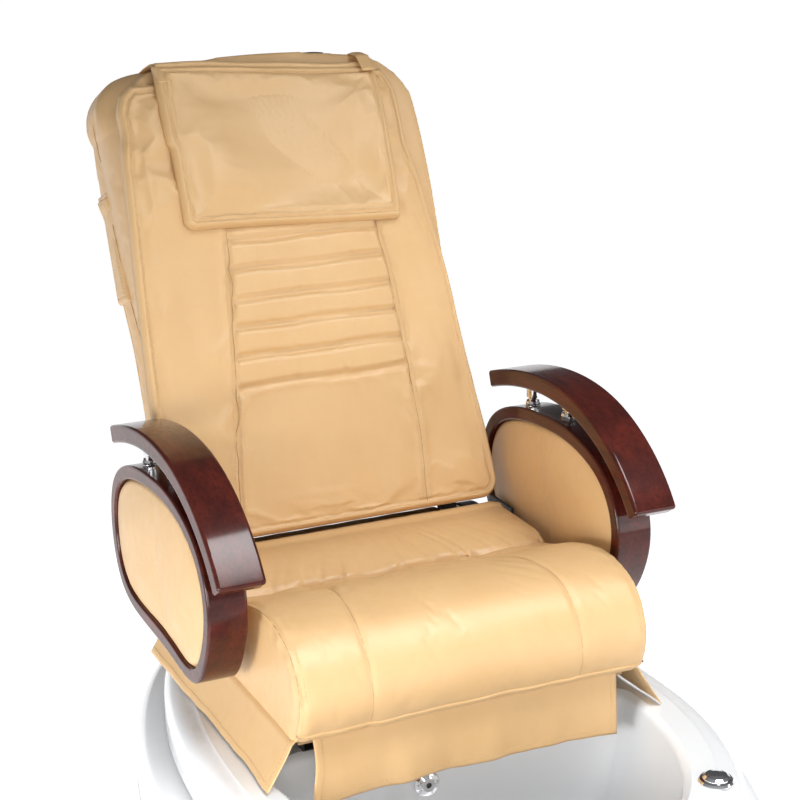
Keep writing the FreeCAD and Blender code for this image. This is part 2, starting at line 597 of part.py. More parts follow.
# ---- arms -----------------------------------------------------------------
# The ring's and the cap's centre lines, as (distance behind the hip corner, height).
RING = [(-148, 861), (-258, 846), (-333, 800), (-362, 735), (-346, 655), (-293, 592),
        (-198, 588), (-58, 594), (60, 622), (99, 700), (80, 790), (-18, 846)]
CAP_PATH = [(61, 874), (-60, 905), (-148, 911), (-240, 899), (-315, 869), (-375, 826), (-413, 782)]
POSTS = (-28.0, -150.0, -280.0)
CORE_X = (322.0, 352.0)              # faces of the board inside the ring


def ring_points():
    """Outline of the ring in Y and Z."""
    return [(HIP_Y + y, z) for y, z in RING]


def arm_ring():
    """Bentwood band round the arm."""
    outer = slab(yz_loop(ring_points(), ARM_IN), ARM_IN, ARM_OUT)
    inner = slab(yz_loop(ring_points(), ARM_IN - 1, RING_T), ARM_IN - 1, ARM_OUT + 1)
    band = outer.cut(inner)
    return rounded(band, 4.0, lambda e: e.Length > 1000)


def arm_core():
    """Board inside the ring, bored for the lift pin."""
    board = slab(yz_loop(ring_points(), CORE_X[0], RING_T + 0.3), *CORE_X)
    return board.cut(rod(PIN_R + RUNNING, V(300, PIVOT_Y, PIVOT_Z), V(345, PIVOT_Y, PIVOT_Z)))


def arm_pads():
    """Upholstered faces inside the ring: inner and outer."""
    x0, x1 = CORE_X[0] - 0.3, CORE_X[1] + 0.3
    inner = slab(yz_loop(ring_points(), ARM_IN + 1, RING_T + 1), ARM_IN + 1, x0)
    inner = inner.cut(rod(PIN_R + 4, V(300, PIVOT_Y, PIVOT_Z), V(330, PIVOT_Y, PIVOT_Z)))
    outer = slab(yz_loop(ring_points(), x1, RING_T + 1), x1, ARM_OUT + 4)
    return inner, outer


def arm_cap():
    """Curved hardwood armrest, a band of even thickness along its path."""
    path = Part.BSplineCurve()
    path.interpolate(Points=[V(0, HIP_Y + y, z) for y, z in CAP_PATH])
    steps = 16
    sides = {1: [], -1: []}
    for i in range(steps + 1):
        u = path.FirstParameter + (path.LastParameter - path.FirstParameter) * i / steps
        t = path.tangent(u)[0]
        for side in sides:
            sides[side].append(path.value(u) + V(0, -t.z, t.y) * (side * CAP_T / 2))
    edges = {}
    for side, points in sides.items():
        curve = Part.BSplineCurve()
        curve.interpolate(Points=points)
        edges[side] = curve.toShape()
    ends = [Part.makeLine(sides[1][k], sides[-1][k]) for k in (0, -1)]
    wire = Part.Wire(Part.__sortEdges__([edges[1], edges[-1]] + ends))
    face = Part.Face(wire)
    face.translate(V(CAP_IN, 0, 0))
    cap = face.extrude(V(CAP_OUT - CAP_IN, 0, 0))
    return rounded(cap, 5.0, lambda e: e.Length > 20)


def arm_posts(ring, cap):
    """Turned chrome posts between the ring and the cap."""
    x = (ARM_IN + ARM_OUT) / 2
    posts = []
    for dy in POSTS:
        y = HIP_Y + dy
        line = Part.makeLine(V(x, y, 780), V(x, y, 960))
        top_of_ring = max(v.Z for v in ring.common(line).Vertexes)
        foot_of_cap = min(v.Z for v in cap.common(line).Vertexes)
        gap = foot_of_cap - top_of_ring
        profile = ((0, -7), (13, -7), (13, 4), (11, 8), (8, 10), (8, 13), (11.5, 15), (11.5, gap + 7),
                   (0, gap + 7))
        post = turned(profile, V(x, y, top_of_ring), UP)
        posts.append(post.cut(ring).cut(cap))
    return [max(p.Solids, key=lambda s: s.Volume) for p in posts]


# ---- back -----------------------------------------------------------------
# The backrest is drawn upright: X across, Y = depth behind its front face, Z = distance up
# from the hip corner. on_back() leans it into place.
HEAD_FROM = 500.0        # the front face starts to curve back here
HEAD_CURVE = 50.0        # and is this much further back at the top
HIP_UP = 18.0            # the hip corner of the backrest is this much above the seat
BACK_LOW = -8.0
WELL_TOP = 652.0         # window for the rollers and the well behind it
LADDER_Y = (40.0, 65.0)  # depth of the tube ladder in the well
ROLLER_Y = 38.0
RAIL_Y = 84.0
SCREW_Y = 88.0
RAIL_R = 6.0
LEAD_SCREW_R = 5.0
AXLE_R = 5.0
RAIL_BACK_X = 90.0
CARRIAGE_Z = 330.0
FORK_REACH = 70.0        # roller axles above and below the carriage's middle


def on_back(shape):
    """Leans an upright shape into its place on the reclined backrest."""
    lean = FreeCAD.Placement(V(0, HIP_Y, SEAT_Z + HIP_UP), FreeCAD.Rotation(V(1, 0, 0), -RECLINE))
    placed = shape.copy()
    placed.Placement = lean.multiply(placed.Placement)
    return placed


def face_depth(s):
    """Depth of the front face at distance s from the hip corner."""
    over = max(0.0, s - HEAD_FROM) / (BACK_LENGTH - HEAD_FROM)
    return HEAD_CURVE * over ** 2


def strip(half, low, high, near, far, thinner=0.0):
    """Layer that follows the front face from low to high, between depths near and far behind it."""
    steps = 14
    heights = [low + (high - low) * i / steps for i in range(steps + 1)]
    lines = []
    for depth, taper in ((near, 0.0), (far, thinner)):
        points = [V(-half, face_depth(s) + depth - taper * face_depth(s) / HEAD_CURVE, s) for s in heights]
        curve = Part.BSplineCurve()
        curve.interpolate(Points=points)
        lines.append((curve.toShape(), points[0], points[-1]))
    (front, f0, f1), (rear, r0, r1) = lines
    wire = Part.Wire(Part.__sortEdges__([front, Part.makeLine(f1, r1), rear, Part.makeLine(r0, f0)]))
    return Part.Face(wire).extrude(V(2 * half, 0, 0))


def back_outline(grow):
    """Prism with the backrest's front outline: near-straight sides and round shoulders."""
    low, high, top, corner = 256 + grow, 262 + grow, BACK_LENGTH + grow, 105.0
    inset = corner * (1 - 1 / math.sqrt(2))
    right = [V(low, -80, -60), V(high, -80, top - corner), V(high - inset, -80, top - inset),
             V(high - corner, -80, top)]
    left = [V(-p.x, p.y, p.z) for p in right]
    edges = [Part.makeLine(left[0], right[0]), Part.makeLine(right[0], right[1]),
             Part.Arc(right[1], right[2], right[3]).toShape(),
             Part.Arc(right[3], V(0, -80, top + 12), left[3]).toShape(),
             Part.Arc(left[3], left[2], left[1]).toShape(), Part.makeLine(left[1], left[0])]
    return Part.Face(Part.Wire(edges)).extrude(V(0, 400, 0))


def back_body():
    """Upholstered body of the backrest: a thick-walled tray with a window for the massage rollers."""
    body = strip(300, BACK_LOW, BACK_LENGTH + 20, 2, BACK_DEPTH, 45).common(back_outline(0))
    body = rounded(body, 24, lambda e: e.CenterOfMass.y > 90 and e.CenterOfMass.z > 50)
    well = box(-232, 232, 30, BACK_DEPTH - 10, BACK_LOW - 1, WELL_TOP)
    return body.cut(well).cut(box(-150, 150, -5, 40, 40, WELL_TOP - 12))


def back_frame():
    """Welded tube ladder inside the body; its foot carries the hinge pins and the recline lever."""
    frame = tube_box(-225, -200, *LADDER_Y, -50, 640).fuse(tube_box(200, 225, *LADDER_Y, -50, 640))
    for z in (-50, 20, 615):
        frame = frame.fuse(tube_box(-200, 200, *LADDER_Y, z, z + 25))
    frame = on_back(frame)
    corners = ((-16, -10), (20, -16), (34, 114), (9, 126))
    points = [V(212, HINGE_Y + y, HINGE_Z + z) for y, z in corners]
    cheek = Part.Face(Part.makePolygon(points + points[:1])).extrude(V(6, 0, 0))
    cheek = cheek.fuse(rod(PIN_R, V(212, HINGE_Y, HINGE_Z), V(232, HINGE_Y, HINGE_Z)))
    frame = frame.fuse(cheek).fuse(mirrored(cheek))
    frame = frame.fuse(rod(9, V(-214, HINGE_Y, HINGE_Z), V(214, HINGE_Y, HINGE_Z)))
    frame = frame.fuse(box(ACT_X - 4, ACT_X + 4, HINGE_Y - 8, HINGE_Y + 8, HINGE_Z - LEVER, HINGE_Z))
    end = HINGE_Z - LEVER
    return frame.fuse(rod(5, V(ACT_X - 13, HINGE_Y, end), V(ACT_X + 13, HINGE_Y, end)))


def massage_rails():
    """Two guide rods and the lead screw that the massage carriage climbs, on two tie bars."""
    foot, head, bar = 34.0, 616.0, 10.0
    rails = rod(LEAD_SCREW_R, V(0, SCREW_Y, foot + 2), V(0, SCREW_Y, head + 8))
    for x in (-RAIL_BACK_X, RAIL_BACK_X):
        rails = rails.fuse(rod(RAIL_R, V(x, RAIL_Y, foot + 2), V(x, RAIL_Y, head + 8)))
    for z in (foot, head):
        rails = rails.fuse(box(-110, 110, LADDER_Y[1] + 0.3, 98, z, z + bar))
    return on_back(rails)


def massage_carriage():
    """Gear case that slides on the guide rods, with two pairs of forks for the roller axles."""
    z = CARRIAGE_Z
    case = box(-112, 112, 72, 102, z - 45, z + 45).fuse(box(-40, 40, 52, 72, z - 40, z + 40))
    for x in (-RAIL_BACK_X, RAIL_BACK_X):
        case = case.cut(rod(RAIL_R + 0.3, V(x, RAIL_Y, z - 60), V(x, RAIL_Y, z + 60)))
    case = case.cut(rod(LEAD_SCREW_R + 0.4, V(0, SCREW_Y, z - 60), V(0, SCREW_Y, z + 60)))
    for dz in (-FORK_REACH, FORK_REACH):
        for x in (-20, 14):
            arm = box(x, x + 6, ROLLER_Y - 10, 60, z + dz - 9, z + dz + 9)
            link = box(x, x + 6, 52, 66, z + min(0, dz), z + max(0, dz))
            case = case.fuse(arm).fuse(link)
        case = case.cut(rod(AXLE_R + RUNNING, V(-30, ROLLER_Y, z + dz), V(30, ROLLER_Y, z + dz)))
    return on_back(case)


def massage_rollers(dz):
    """Axle with a kneading roller at each end."""
    z = CARRIAGE_Z + dz
    profile = ((AXLE_R, -17), (22, -17), (29, -9), (31, 0), (29, 9), (22, 17), (AXLE_R, 17))
    axle = rod(AXLE_R, V(-74, ROLLER_Y, z), V(74, ROLLER_Y, z))
    for x in (-54, 54):
        axle = axle.fuse(turned(profile, V(x, ROLLER_Y, z), V(1, 0, 0)))
    return on_back(axle)


def back_pad():
    """Quilted cover that hangs over the front of the body, wider at its foot than at the shoulders."""
    right = [V(302, 0, 4), V(270, 0, 430), V(250, 0, 690), V(238, 0, 756)]
    points = right + [V(-p.x, 0, p.z) for p in reversed(right)]
    outline = Part.Face(Part.makePolygon(points + points[:1])).extrude(V(0, 200, 0))
    return on_back(strip(310, 0, 760, -18, 1).common(outline.translated(V(0, -60, 0))))


def head_pillow():
    """Flat cushion strapped over the top of the cover."""
    return on_back(strip(185, 503, 776, -42, -19))


def remote_pocket():
    """Flat leather pocket for the massage remote, on the backrest's right side."""
    corners = ((132, 420), (190, 408), (194, 590), (136, 604))
    points = [V(-258, y, z) for y, z in corners]
    pocket = Part.Face(Part.makePolygon(points + points[:1])).extrude(V(-18, 0, 0))
    return on_back(pocket.cut(back_outline(0.3)))


# ---- all parts ------------------------------------------------------------
def build():
    """Makes every node's STEP file."""
    os.makedirs(OUT, exist_ok=True)
    for old in os.listdir(OUT):
        if old.endswith(".step"):
            os.remove(os.path.join(OUT, old))
    save("tub_moulding", tub_moulding())
    save("lower_shell", lower_shell())
    save("rear_access_panel", access_panel())
    save("access_panel_screws", *panel_screws())
    save("chassis_frame", chassis_frame())
    save("levelling_feet", *levelling_feet())
    save("slide_rails_lower", *lower_rails())
    save("slide_actuator_body", slide_actuator_body())
    motor, volute = pump()
    save("pump_motor", motor)
    save("pump_volute", volute)
    save("pipework", *pipework())
    faces, bodies = jets()
    save("jet_faces", *faces)
    save("jet_bodies", *bodies)
    save("suction_cover", suction_cover())
    flange, plug = drain()
    save("drain_flange", flange)
    save("drain_plug", plug)
    bezel, button = air_button()
    save("air_button_bezel", bezel)
    save("air_button", button)
    body, stem, lever = tap()
    save("mixer_body", body)
    save("mixer_stem", stem)
    save("mixer_lever", lever)
    socket, head = shower()
    save("shower_socket", socket)
    save("hand_shower", head)
    base, post, pad = footrest()
    save("footrest_base", base)
    save("footrest_post", post)
    save("footrest_pad", pad)

    save("seat_frame", seat_frame())
    save("seat_board", box(-270, 270, SEAT_FRONT_Y + 8, HIP_Y + 4, BOARD_Z, BOARD_Z + BOARD_T))
    save("slide_rails_upper", *upper_rails())
    save("slide_actuator_rod", slide_rod())
    save("recline_motor", recline_motor())
    save("recline_rod", recline_rod())
    save("arm_brackets", *arm_brackets())
    save("seat_cushion", seat_cushion())
    save("front_skirt", front_flap())
    flap = side_flap()
    save("side_skirt_left", flap)
    save("side_skirt_right", mirrored(flap))

    ring, core, cap = arm_ring(), arm_core(), arm_cap()
    inner, outer = arm_pads()
    posts = arm_posts(ring, cap)
    for side, flip in (("left", lambda s: s), ("right", mirrored)):
        save("arm_ring_" + side, flip(ring))
        save("arm_core_" + side, flip(core))
        save("arm_pad_inner_" + side, flip(inner))
        save("arm_pad_outer_" + side, flip(outer))
        save("arm_cap_" + side, flip(cap))
        save("arm_posts_" + side, *[flip(p) for p in posts])

    save("back_frame", back_frame())
    save("back_body", on_back(back_body()))
    save("massage_rails", massage_rails())
    save("massage_carriage", massage_carriage())
    save("massage_rollers_upper", massage_rollers(FORK_REACH))
    save("massage_rollers_lower", massage_rollers(-FORK_REACH))
    save("back_pad", back_pad())
    save("head_pillow", head_pillow())
    save("remote_pocket", remote_pocket())


build()
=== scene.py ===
"""Looks of the pedicure spa chair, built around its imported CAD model. Metres, same frame as the CAD."""
import json
import math

import bmesh
import bpy
import numpy as np
from mathutils import Matrix, Vector
from mathutils.bvhtree import BVHTree


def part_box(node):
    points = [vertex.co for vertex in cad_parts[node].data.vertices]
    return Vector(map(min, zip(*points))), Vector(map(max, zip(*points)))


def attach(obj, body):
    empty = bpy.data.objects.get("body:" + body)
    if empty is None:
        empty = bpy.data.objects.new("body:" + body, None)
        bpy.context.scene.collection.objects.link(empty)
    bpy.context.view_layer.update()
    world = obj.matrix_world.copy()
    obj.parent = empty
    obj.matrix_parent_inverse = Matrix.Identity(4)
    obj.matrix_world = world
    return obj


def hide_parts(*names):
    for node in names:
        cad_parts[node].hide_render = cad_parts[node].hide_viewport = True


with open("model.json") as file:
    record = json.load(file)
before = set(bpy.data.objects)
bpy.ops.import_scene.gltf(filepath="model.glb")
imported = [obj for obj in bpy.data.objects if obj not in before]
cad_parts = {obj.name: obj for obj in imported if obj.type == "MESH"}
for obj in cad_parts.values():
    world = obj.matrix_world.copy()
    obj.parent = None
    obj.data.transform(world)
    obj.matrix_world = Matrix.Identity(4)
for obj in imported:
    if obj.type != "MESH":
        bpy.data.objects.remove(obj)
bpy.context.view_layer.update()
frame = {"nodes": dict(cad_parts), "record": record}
nodes = frame["nodes"]

# ---- places read from the frame --------------------------------------------
seat_low, seat_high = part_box("seat_cushion")
HIP_Y = seat_high.y - 0.004          # the corner where seat and backrest meet
SEAT_Z = 0.672                       # seat top at that corner
HIP_Z = SEAT_Z + 0.018
LEAN = math.radians(21)
SEAT_HALF = seat_high.x
BASE_Z = seat_low.z                  # underside of the cushion


def back_place(x, depth, s):
    """Backrest coordinates to the frame: depth behind the front face, s up along it."""
    sin, cos = math.sin(LEAN), math.cos(LEAN)
    x, depth, s = np.broadcast_arrays(x, depth, s)
    return np.stack([x, HIP_Y + s * sin + depth * cos, HIP_Z + s * cos - depth * sin], -1)


def face_depth(s):
    """The backrest's front face bends back towards the head."""
    return 0.050 * np.clip((s - 0.5) / 0.275, 0, 1.2) ** 2


# ---- small maths -----------------------------------------------------------
def smooth(t):
    t = np.clip(t, 0, 1)
    return t * t * (3 - 2 * t)


def bell(d, width):
    return np.exp(-(d / width) ** 2)


def curve(t, points):
    """Smooth curve through (key, value) points."""
    keys = np.array([p[0] for p in points], float)
    values = np.array([p[1] for p in points], float)
    rise = np.diff(values) / np.diff(keys)
    a, b = rise[:-1], rise[1:]
    inner = np.where(a * b > 0, 2 * a * b / np.where(a * b > 0, a + b, 1.0), 0.0)
    slopes = np.concatenate([rise[:1], inner, rise[-1:]])
    t = np.clip(t, keys[0], keys[-1])
    i = np.clip(np.searchsorted(keys, t, side="right") - 1, 0, len(keys) - 2)
    h = keys[i + 1] - keys[i]
    u = (t - keys[i]) / h
    return (values[i] * (2 * u**3 - 3 * u**2 + 1) + values[i + 1] * (3 * u**2 - 2 * u**3)
            + h * slopes[i] * (u**3 - 2 * u**2 + u) + h * slopes[i + 1] * (u**3 - u**2))


def noise(points, size, seed, stretch=(1, 1, 1)):
    """Smooth noise of about -1 to 1 with features of that size, from a few fixed plane waves."""
    rng = np.random.default_rng(seed)
    total = np.zeros(len(points))
    for _ in range(9):
        direction = rng.normal(size=3)
        direction /= np.linalg.norm(direction)
        wave = 2 * math.pi / (size * rng.uniform(1.0, 2.2))
        total += np.sin((points * np.array(stretch)) @ direction * wave + rng.uniform(0, 6.28))
    return total / 4.0


def distance_to(points, path, closed=False):
    """Distance of each point to a polyline."""
    path = np.asarray(path, float)
    ends = np.roll(path, -1, 0) if closed else path[1:]
    starts = path if closed else path[:-1]
    best = np.full(len(points), 1e9)
    for a, b in zip(starts, ends):
        d = b - a
        t = np.clip(((points - a) @ d) / max(d @ d, 1e-12), 0, 1)
        best = np.minimum(best, np.linalg.norm(points - a - t[:, None] * d, axis=1))
    return best


def resample(path, count, closed=False):
    """Points evenly spaced along a polyline."""
    path = np.asarray(path, float)
    if closed:
        path = np.vstack([path, path[:1]])
    steps = np.linalg.norm(np.diff(path, axis=0), axis=1)
    s = np.concatenate([[0], np.cumsum(steps)])
    at = np.linspace(0, s[-1], count, endpoint=not closed)
    return np.stack([np.interp(at, s, path[:, k]) for k in range(path.shape[1])], -1)


# ---- meshes ----------------------------------------------------------------
def grid_faces(rows, columns, wrap=False, flip=False):
    """Quads over points stored row by row; wrap joins the last column to the first."""
    r = np.arange(rows - 1)[:, None]
    c = np.arange(columns if wrap else columns - 1)[None, :]
    n = (c + 1) % columns
    quads = np.stack([r * columns + c, r * columns + n, (r + 1) * columns + n, (r + 1) * columns + c], -1)
    quads = quads.reshape(-1, 4)
    return quads[:, ::-1] if flip else quads


def normals_of(points, quads):
    a = points[quads[:, 2]] - points[quads[:, 0]]
    b = points[quads[:, 3]] - points[quads[:, 1]]
    face = np.cross(a, b)
    normals = np.zeros_like(points)
    for k in range(4):
        np.add.at(normals, quads[:, k], face)
    return normals / np.maximum(np.linalg.norm(normals, axis=1, keepdims=True), 1e-12)


def make(name, points, faces, material, body, weld=False):
    """One visible piece from points and faces; it rides on a CAD body."""
    mesh = bpy.data.meshes.new(name)
    faces = faces.tolist() if isinstance(faces, np.ndarray) else faces
    mesh.from_pydata(np.asarray(points).tolist(), [], faces)
    if weld:
        work = bmesh.new()
        work.from_mesh(mesh)
        bmesh.ops.remove_doubles(work, verts=work.verts, dist=2e-5)
        bmesh.ops.recalc_face_normals(work, faces=work.faces)
        work.to_mesh(mesh)
        work.free()
    mesh.shade_smooth()
    mesh.materials.append(material)
    piece = bpy.data.objects.new(name, mesh)
    bpy.context.scene.collection.objects.link(piece)
    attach(piece, body)
    return piece


def surface_of(piece):
    mesh = piece.data
    return BVHTree.FromPolygons([v.co.copy() for v in mesh.vertices], [tuple(p.vertices) for p in mesh.polygons])


def on_surface(path, tree, lift=0.0, count=None):
    """Moves a path onto a surface, lifted along its normal."""
    path = resample(path, count) if count else np.asarray(path, float)
    found, normals = [], []
    for p in path:
        at, normal, _, _ = tree.find_nearest(Vector(p))
        if normal.dot(Vector(p) - at) < 0 and (Vector(p) - at).length > 1e-4:
            normal = -normal
        found.append(at + normal * lift)
        normals.append(normal)
    return np.array(found), np.array(normals)


def tube_mesh(path, radius, sides=10, closed=False, flat=1.0, normals=None):
    """Points and faces of a tube along a path; flat < 1 squashes it along the path's normals."""
    path = np.asarray(path, float)
    tangent = (np.roll(path, -1, 0) - np.roll(path, 1, 0)) if closed else np.gradient(path, axis=0)
    tangent /= np.linalg.norm(tangent, axis=1, keepdims=True)
    if normals is None:
        guide = np.array([0, 0, 1.0]) if abs(tangent[0][2]) < 0.9 else np.array([1.0, 0, 0])
        normals = np.tile(guide, (len(path), 1))
    side = np.cross(tangent, normals)
    side /= np.linalg.norm(side, axis=1, keepdims=True)
    up = np.cross(side, tangent)
    a = np.linspace(0, 2 * math.pi, sides, endpoint=False)
    ring = (side[:, None] * np.cos(a)[None, :, None] + up[:, None] * (flat * np.sin(a))[None, :, None]) * radius
    points = (path[:, None] + ring).reshape(-1, 3)
    faces = grid_faces(len(path), sides, wrap=True).tolist()
    if closed:
        last = (len(path) - 1) * sides
        faces += [[last + k, last + (k + 1) % sides, (k + 1) % sides, k] for k in range(sides)]
    else:
        faces.append(list(range(sides))[::-1])
        faces.append([(len(path) - 1) * sides + k for k in range(sides)])
    return points, faces


def tube(name, path, radius, material, body, slot="leather", **options):
    """A welt, bead or rod along a path."""
    mesh = bpy.data.meshes.new(name)
    points, faces = tube_mesh(path, radius, **options)
    mesh.from_pydata(points.tolist(), [], faces)
    mesh.shade_smooth()
    mesh.materials.append(material)
    piece = bpy.data.objects.new(name, mesh)
    bpy.context.scene.collection.objects.link(piece)
    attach(piece, body)
    return piece


def stitching(name, paths, tree, material, body, pitch=0.0062, length=0.0042, radius=0.00055):
    """Rows of thread stitches lying on a surface."""
    points, faces = [], []
    for path in paths:
        total = np.linalg.norm(np.diff(path, axis=0), axis=1).sum()
        count = max(2, int(total / pitch))
        spots, normals = on_surface(path, tree, radius * 0.5, count)
        ways = np.gradient(spots, axis=0)
        for spot, normal, way in zip(spots, normals, ways):
            way = way / max(np.linalg.norm(way), 1e-9)
            side = np.cross(way, normal)
            start = len(points)
            for along, thick, sink in ((-0.5, 0.45, -0.6), (-0.3, 1, 0.35), (0.3, 1, 0.35), (0.5, 0.45, -0.6)):
                centre = spot + way * along * length + normal * radius * sink
                for k in range(6):
                    a = k * math.pi / 3
                    points.append(centre + (side * math.cos(a) + normal * math.sin(a)) * radius * thick)
            for ring in range(3):
                for k in range(6):
                    a, b = start + ring * 6 + k, start + ring * 6 + (k + 1) % 6
                    faces.append([a, b, b + 6, a + 6])
            faces.append([start + k for k in range(5, -1, -1)])
            faces.append([start + 18 + k for k in range(6)])
    mesh = bpy.data.meshes.new(name)
    mesh.from_pydata([tuple(p) for p in points], [], faces)
    mesh.shade_smooth()
    mesh.materials.append(material)
    piece = bpy.data.objects.new(name, mesh)
    bpy.context.scene.collection.objects.link(piece)
    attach(piece, body)
    return piece


def edge_spacing(count, power=0.75):
    """Samples from 0 to 1, closer together near both ends."""
    t = np.linspace(-1, 1, count)
    c = np.sin(t * math.pi / 2)
    return 0.5 + 0.5 * (power * c + (1 - power) * t)


def panel(name, left, right, span, place, height, material, body, rows, columns, under=0.0):
    """Closed padded panel: its outline runs from left(s) to right(s) over span; height(x, s, d) is its
    thickness at distance d from the outline, and place(x, s, h) puts it in the frame."""
    s = span[0] + (span[1] - span[0]) * edge_spacing(rows, 0.85)
    u = edge_spacing(columns, 0.6)
    lo, hi = left(s), right(s)
    x = lo[:, None] + (hi - lo)[:, None] * u[None, :]
    ss = np.repeat(s[:, None], columns, 1)
    flat = np.stack([x.ravel(), ss.ravel()], -1)
    outline = np.vstack([np.stack([lo, s], -1), np.stack([hi, s], -1)[::-1]])
    d = distance_to(flat, outline, closed=True)
    edge = np.zeros((rows, columns), bool)
    edge[0], edge[-1], edge[:, 0], edge[:, -1] = True, True, True, True
    d[edge.ravel()] = 0
    top = height(flat[:, 0], flat[:, 1], d)
    top[edge.ravel()] = under
    front = place(flat[:, 0], flat[:, 1], top)
    rear = place(flat[:, 0], flat[:, 1], np.full(len(flat), under))
    faces = np.vstack([grid_faces(rows, columns), grid_faces(rows, columns, flip=True) + len(front)])
    piece = make(name, np.vstack([front, rear]), faces, material, body, weld=True)
    return piece, outline


def inset_path(outline, distance, place, height=0.0, closed=True):
    """A line inside a panel's outline at a given distance from it, placed in the frame."""
    loop = resample(outline, 400, closed=True)
    tangent = np.roll(loop, -3, 0) - np.roll(loop, 3, 0)
    tangent /= np.maximum(np.linalg.norm(tangent, axis=1, keepdims=True), 1e-9)
    normal = np.stack([-tangent[:, 1], tangent[:, 0]], -1)
    centre = loop.mean(0)
    if ((centre - loop) * normal).sum() < 0:
        normal = -normal
    path = loop + normal * distance
    keep = distance_to(path, loop, closed=True) > distance * 0.93
    path = path[keep]
    placed = place(path[:, 0], path[:, 1], np.full(len(path), height))
    return np.vstack([placed, placed[:1]]) if closed else placed


def rolled(d, radius, thickness):
    """Height of a rounded edge at distance d from it."""
    return thickness * np.sqrt(np.clip(1 - (1 - np.clip(d / radius, 0, 1)) ** 2, 0, 1))


# ---- materials -------------------------------------------------------------
def add(tree, kind, props=None, **inputs):
    """One shader node; an input given as a socket is linked, as a value is set."""
    node = tree.nodes.new("ShaderNode" + kind)
    for key, value in (props or {}).items():
        setattr(node, key, value)
    for key, value in inputs.items():
        socket = node.inputs[key.replace("_", " ")]
        if isinstance(value, bpy.types.NodeSocket):
            tree.links.new(value, socket)
        else:
            socket.default_value = value
    return node


def between(tree, factor, low, high):
    """Colour between two by a factor socket."""
    node = tree.nodes.new("ShaderNodeMix")
    node.data_type = "RGBA"
    tree.links.new(factor, node.inputs[0])
    for index, value in ((6, low), (7, high)):
        if isinstance(value, bpy.types.NodeSocket):
            tree.links.new(value, node.inputs[index])
        else:
            node.inputs[index].default_value = (*value, 1)
    return node.outputs[2]


def spread(tree, value, low, high, out_low, out_high):
    node = add(tree, "MapRange", Value=value, From_Min=low, From_Max=high, To_Min=out_low, To_Max=out_high)
    return node.outputs[0]


def cloudy(tree, place, scale, detail=4.0, rough=0.55):
    return add(tree, "TexNoise", Vector=place, Scale=scale, Detail=detail, Roughness=rough).outputs[0]


def stretched(tree, place, scale):
    return add(tree, "Mapping", Vector=place, Scale=scale).outputs[0]


def start(name):
    material = bpy.data.materials.new(name)
    material.use_nodes = True
    tree = material.node_tree
    tree.nodes.clear()
    place = tree.nodes.new("ShaderNodeTexCoord").outputs["Object"]
    return material, tree, place


def finish_with(tree, colour, roughness, normal=None, metallic=0.0, **fixed):
    shader = add(tree, "BsdfPrincipled", Base_Color=colour, Roughness=roughness, Metallic=metallic, **fixed)
    if normal is not None:
        tree.links.new(normal, shader.inputs["Normal"])
    out = tree.nodes.new("ShaderNodeOutputMaterial")
    tree.links.new(shader.outputs[0], out.inputs[0])


def leather_material(name, light, dark, grain=620.0):
    """Soft upholstery leather: cell grain, pores, faint mottling and rub marks."""
    material, tree, place = start(name)
    broad = cloudy(tree, place, 7.0)
    small = cloudy(tree, place, 55.0)
    colour = between(tree, spread(tree, broad, 0.35, 0.65, 0.0, 0.35), light, dark)
    colour = between(tree, spread(tree, small, 0.45, 0.75, 0.0, 0.16), colour, dark)
    warped = add(tree, "VectorMath", {"operation": "ADD"})
    tree.links.new(place, warped.inputs[0])
    shift = add(tree, "VectorMath", {"operation": "SCALE"}, Scale=0.0016)
    tree.links.new(add(tree, "TexNoise", Vector=place, Scale=180.0).outputs[1], shift.inputs[0])
    tree.links.new(shift.outputs[0], warped.inputs[1])
    cells = add(tree, "TexVoronoi", {"feature": "DISTANCE_TO_EDGE"}, Vector=warped.outputs[0], Scale=grain)
    pores = add(tree, "TexVoronoi", Vector=place, Scale=grain * 0.45)
    furrow = spread(tree, cells.outputs[0], 0.0, 0.16, 0.0, 1.0)
    pore = spread(tree, pores.outputs[0], 0.0, 0.22, 0.0, 1.0)
    height = add(tree, "Math", {"operation": "MULTIPLY"})
    tree.links.new(furrow, height.inputs[0])
    tree.links.new(pore, height.inputs[1])
    colour = between(tree, spread(tree, height.outputs[0], 0.0, 1.0, 0.16, 0.0), colour, dark)
    fine = add(tree, "Bump", Strength=0.26, Distance=0.00020, Height=height.outputs[0])
    soft = add(tree, "Bump", Strength=0.20, Distance=0.0010, Height=cloudy(tree, place, 42.0, 3.0),
               Normal=fine.outputs[0])
    roughness = spread(tree, small, 0.3, 0.75, 0.34, 0.47)
    finish_with(tree, colour, roughness, soft.outputs[0], Specular_IOR_Level=0.46, Coat_Weight=0.08,
                Coat_Roughness=0.35)
    return material


def thread_material():
    material, tree, place = start("stitch_thread")
    colour = between(tree, cloudy(tree, place, 900.0), (0.576, 0.400, 0.200), (0.672, 0.496, 0.280))
    bump = add(tree, "Bump", Strength=0.5, Distance=0.0002, Height=cloudy(tree, place, 2600.0, 2.0))
    finish_with(tree, colour, spread(tree, cloudy(tree, place, 300.0), 0.3, 0.7, 0.55, 0.75), bump.outputs[0])
    return material


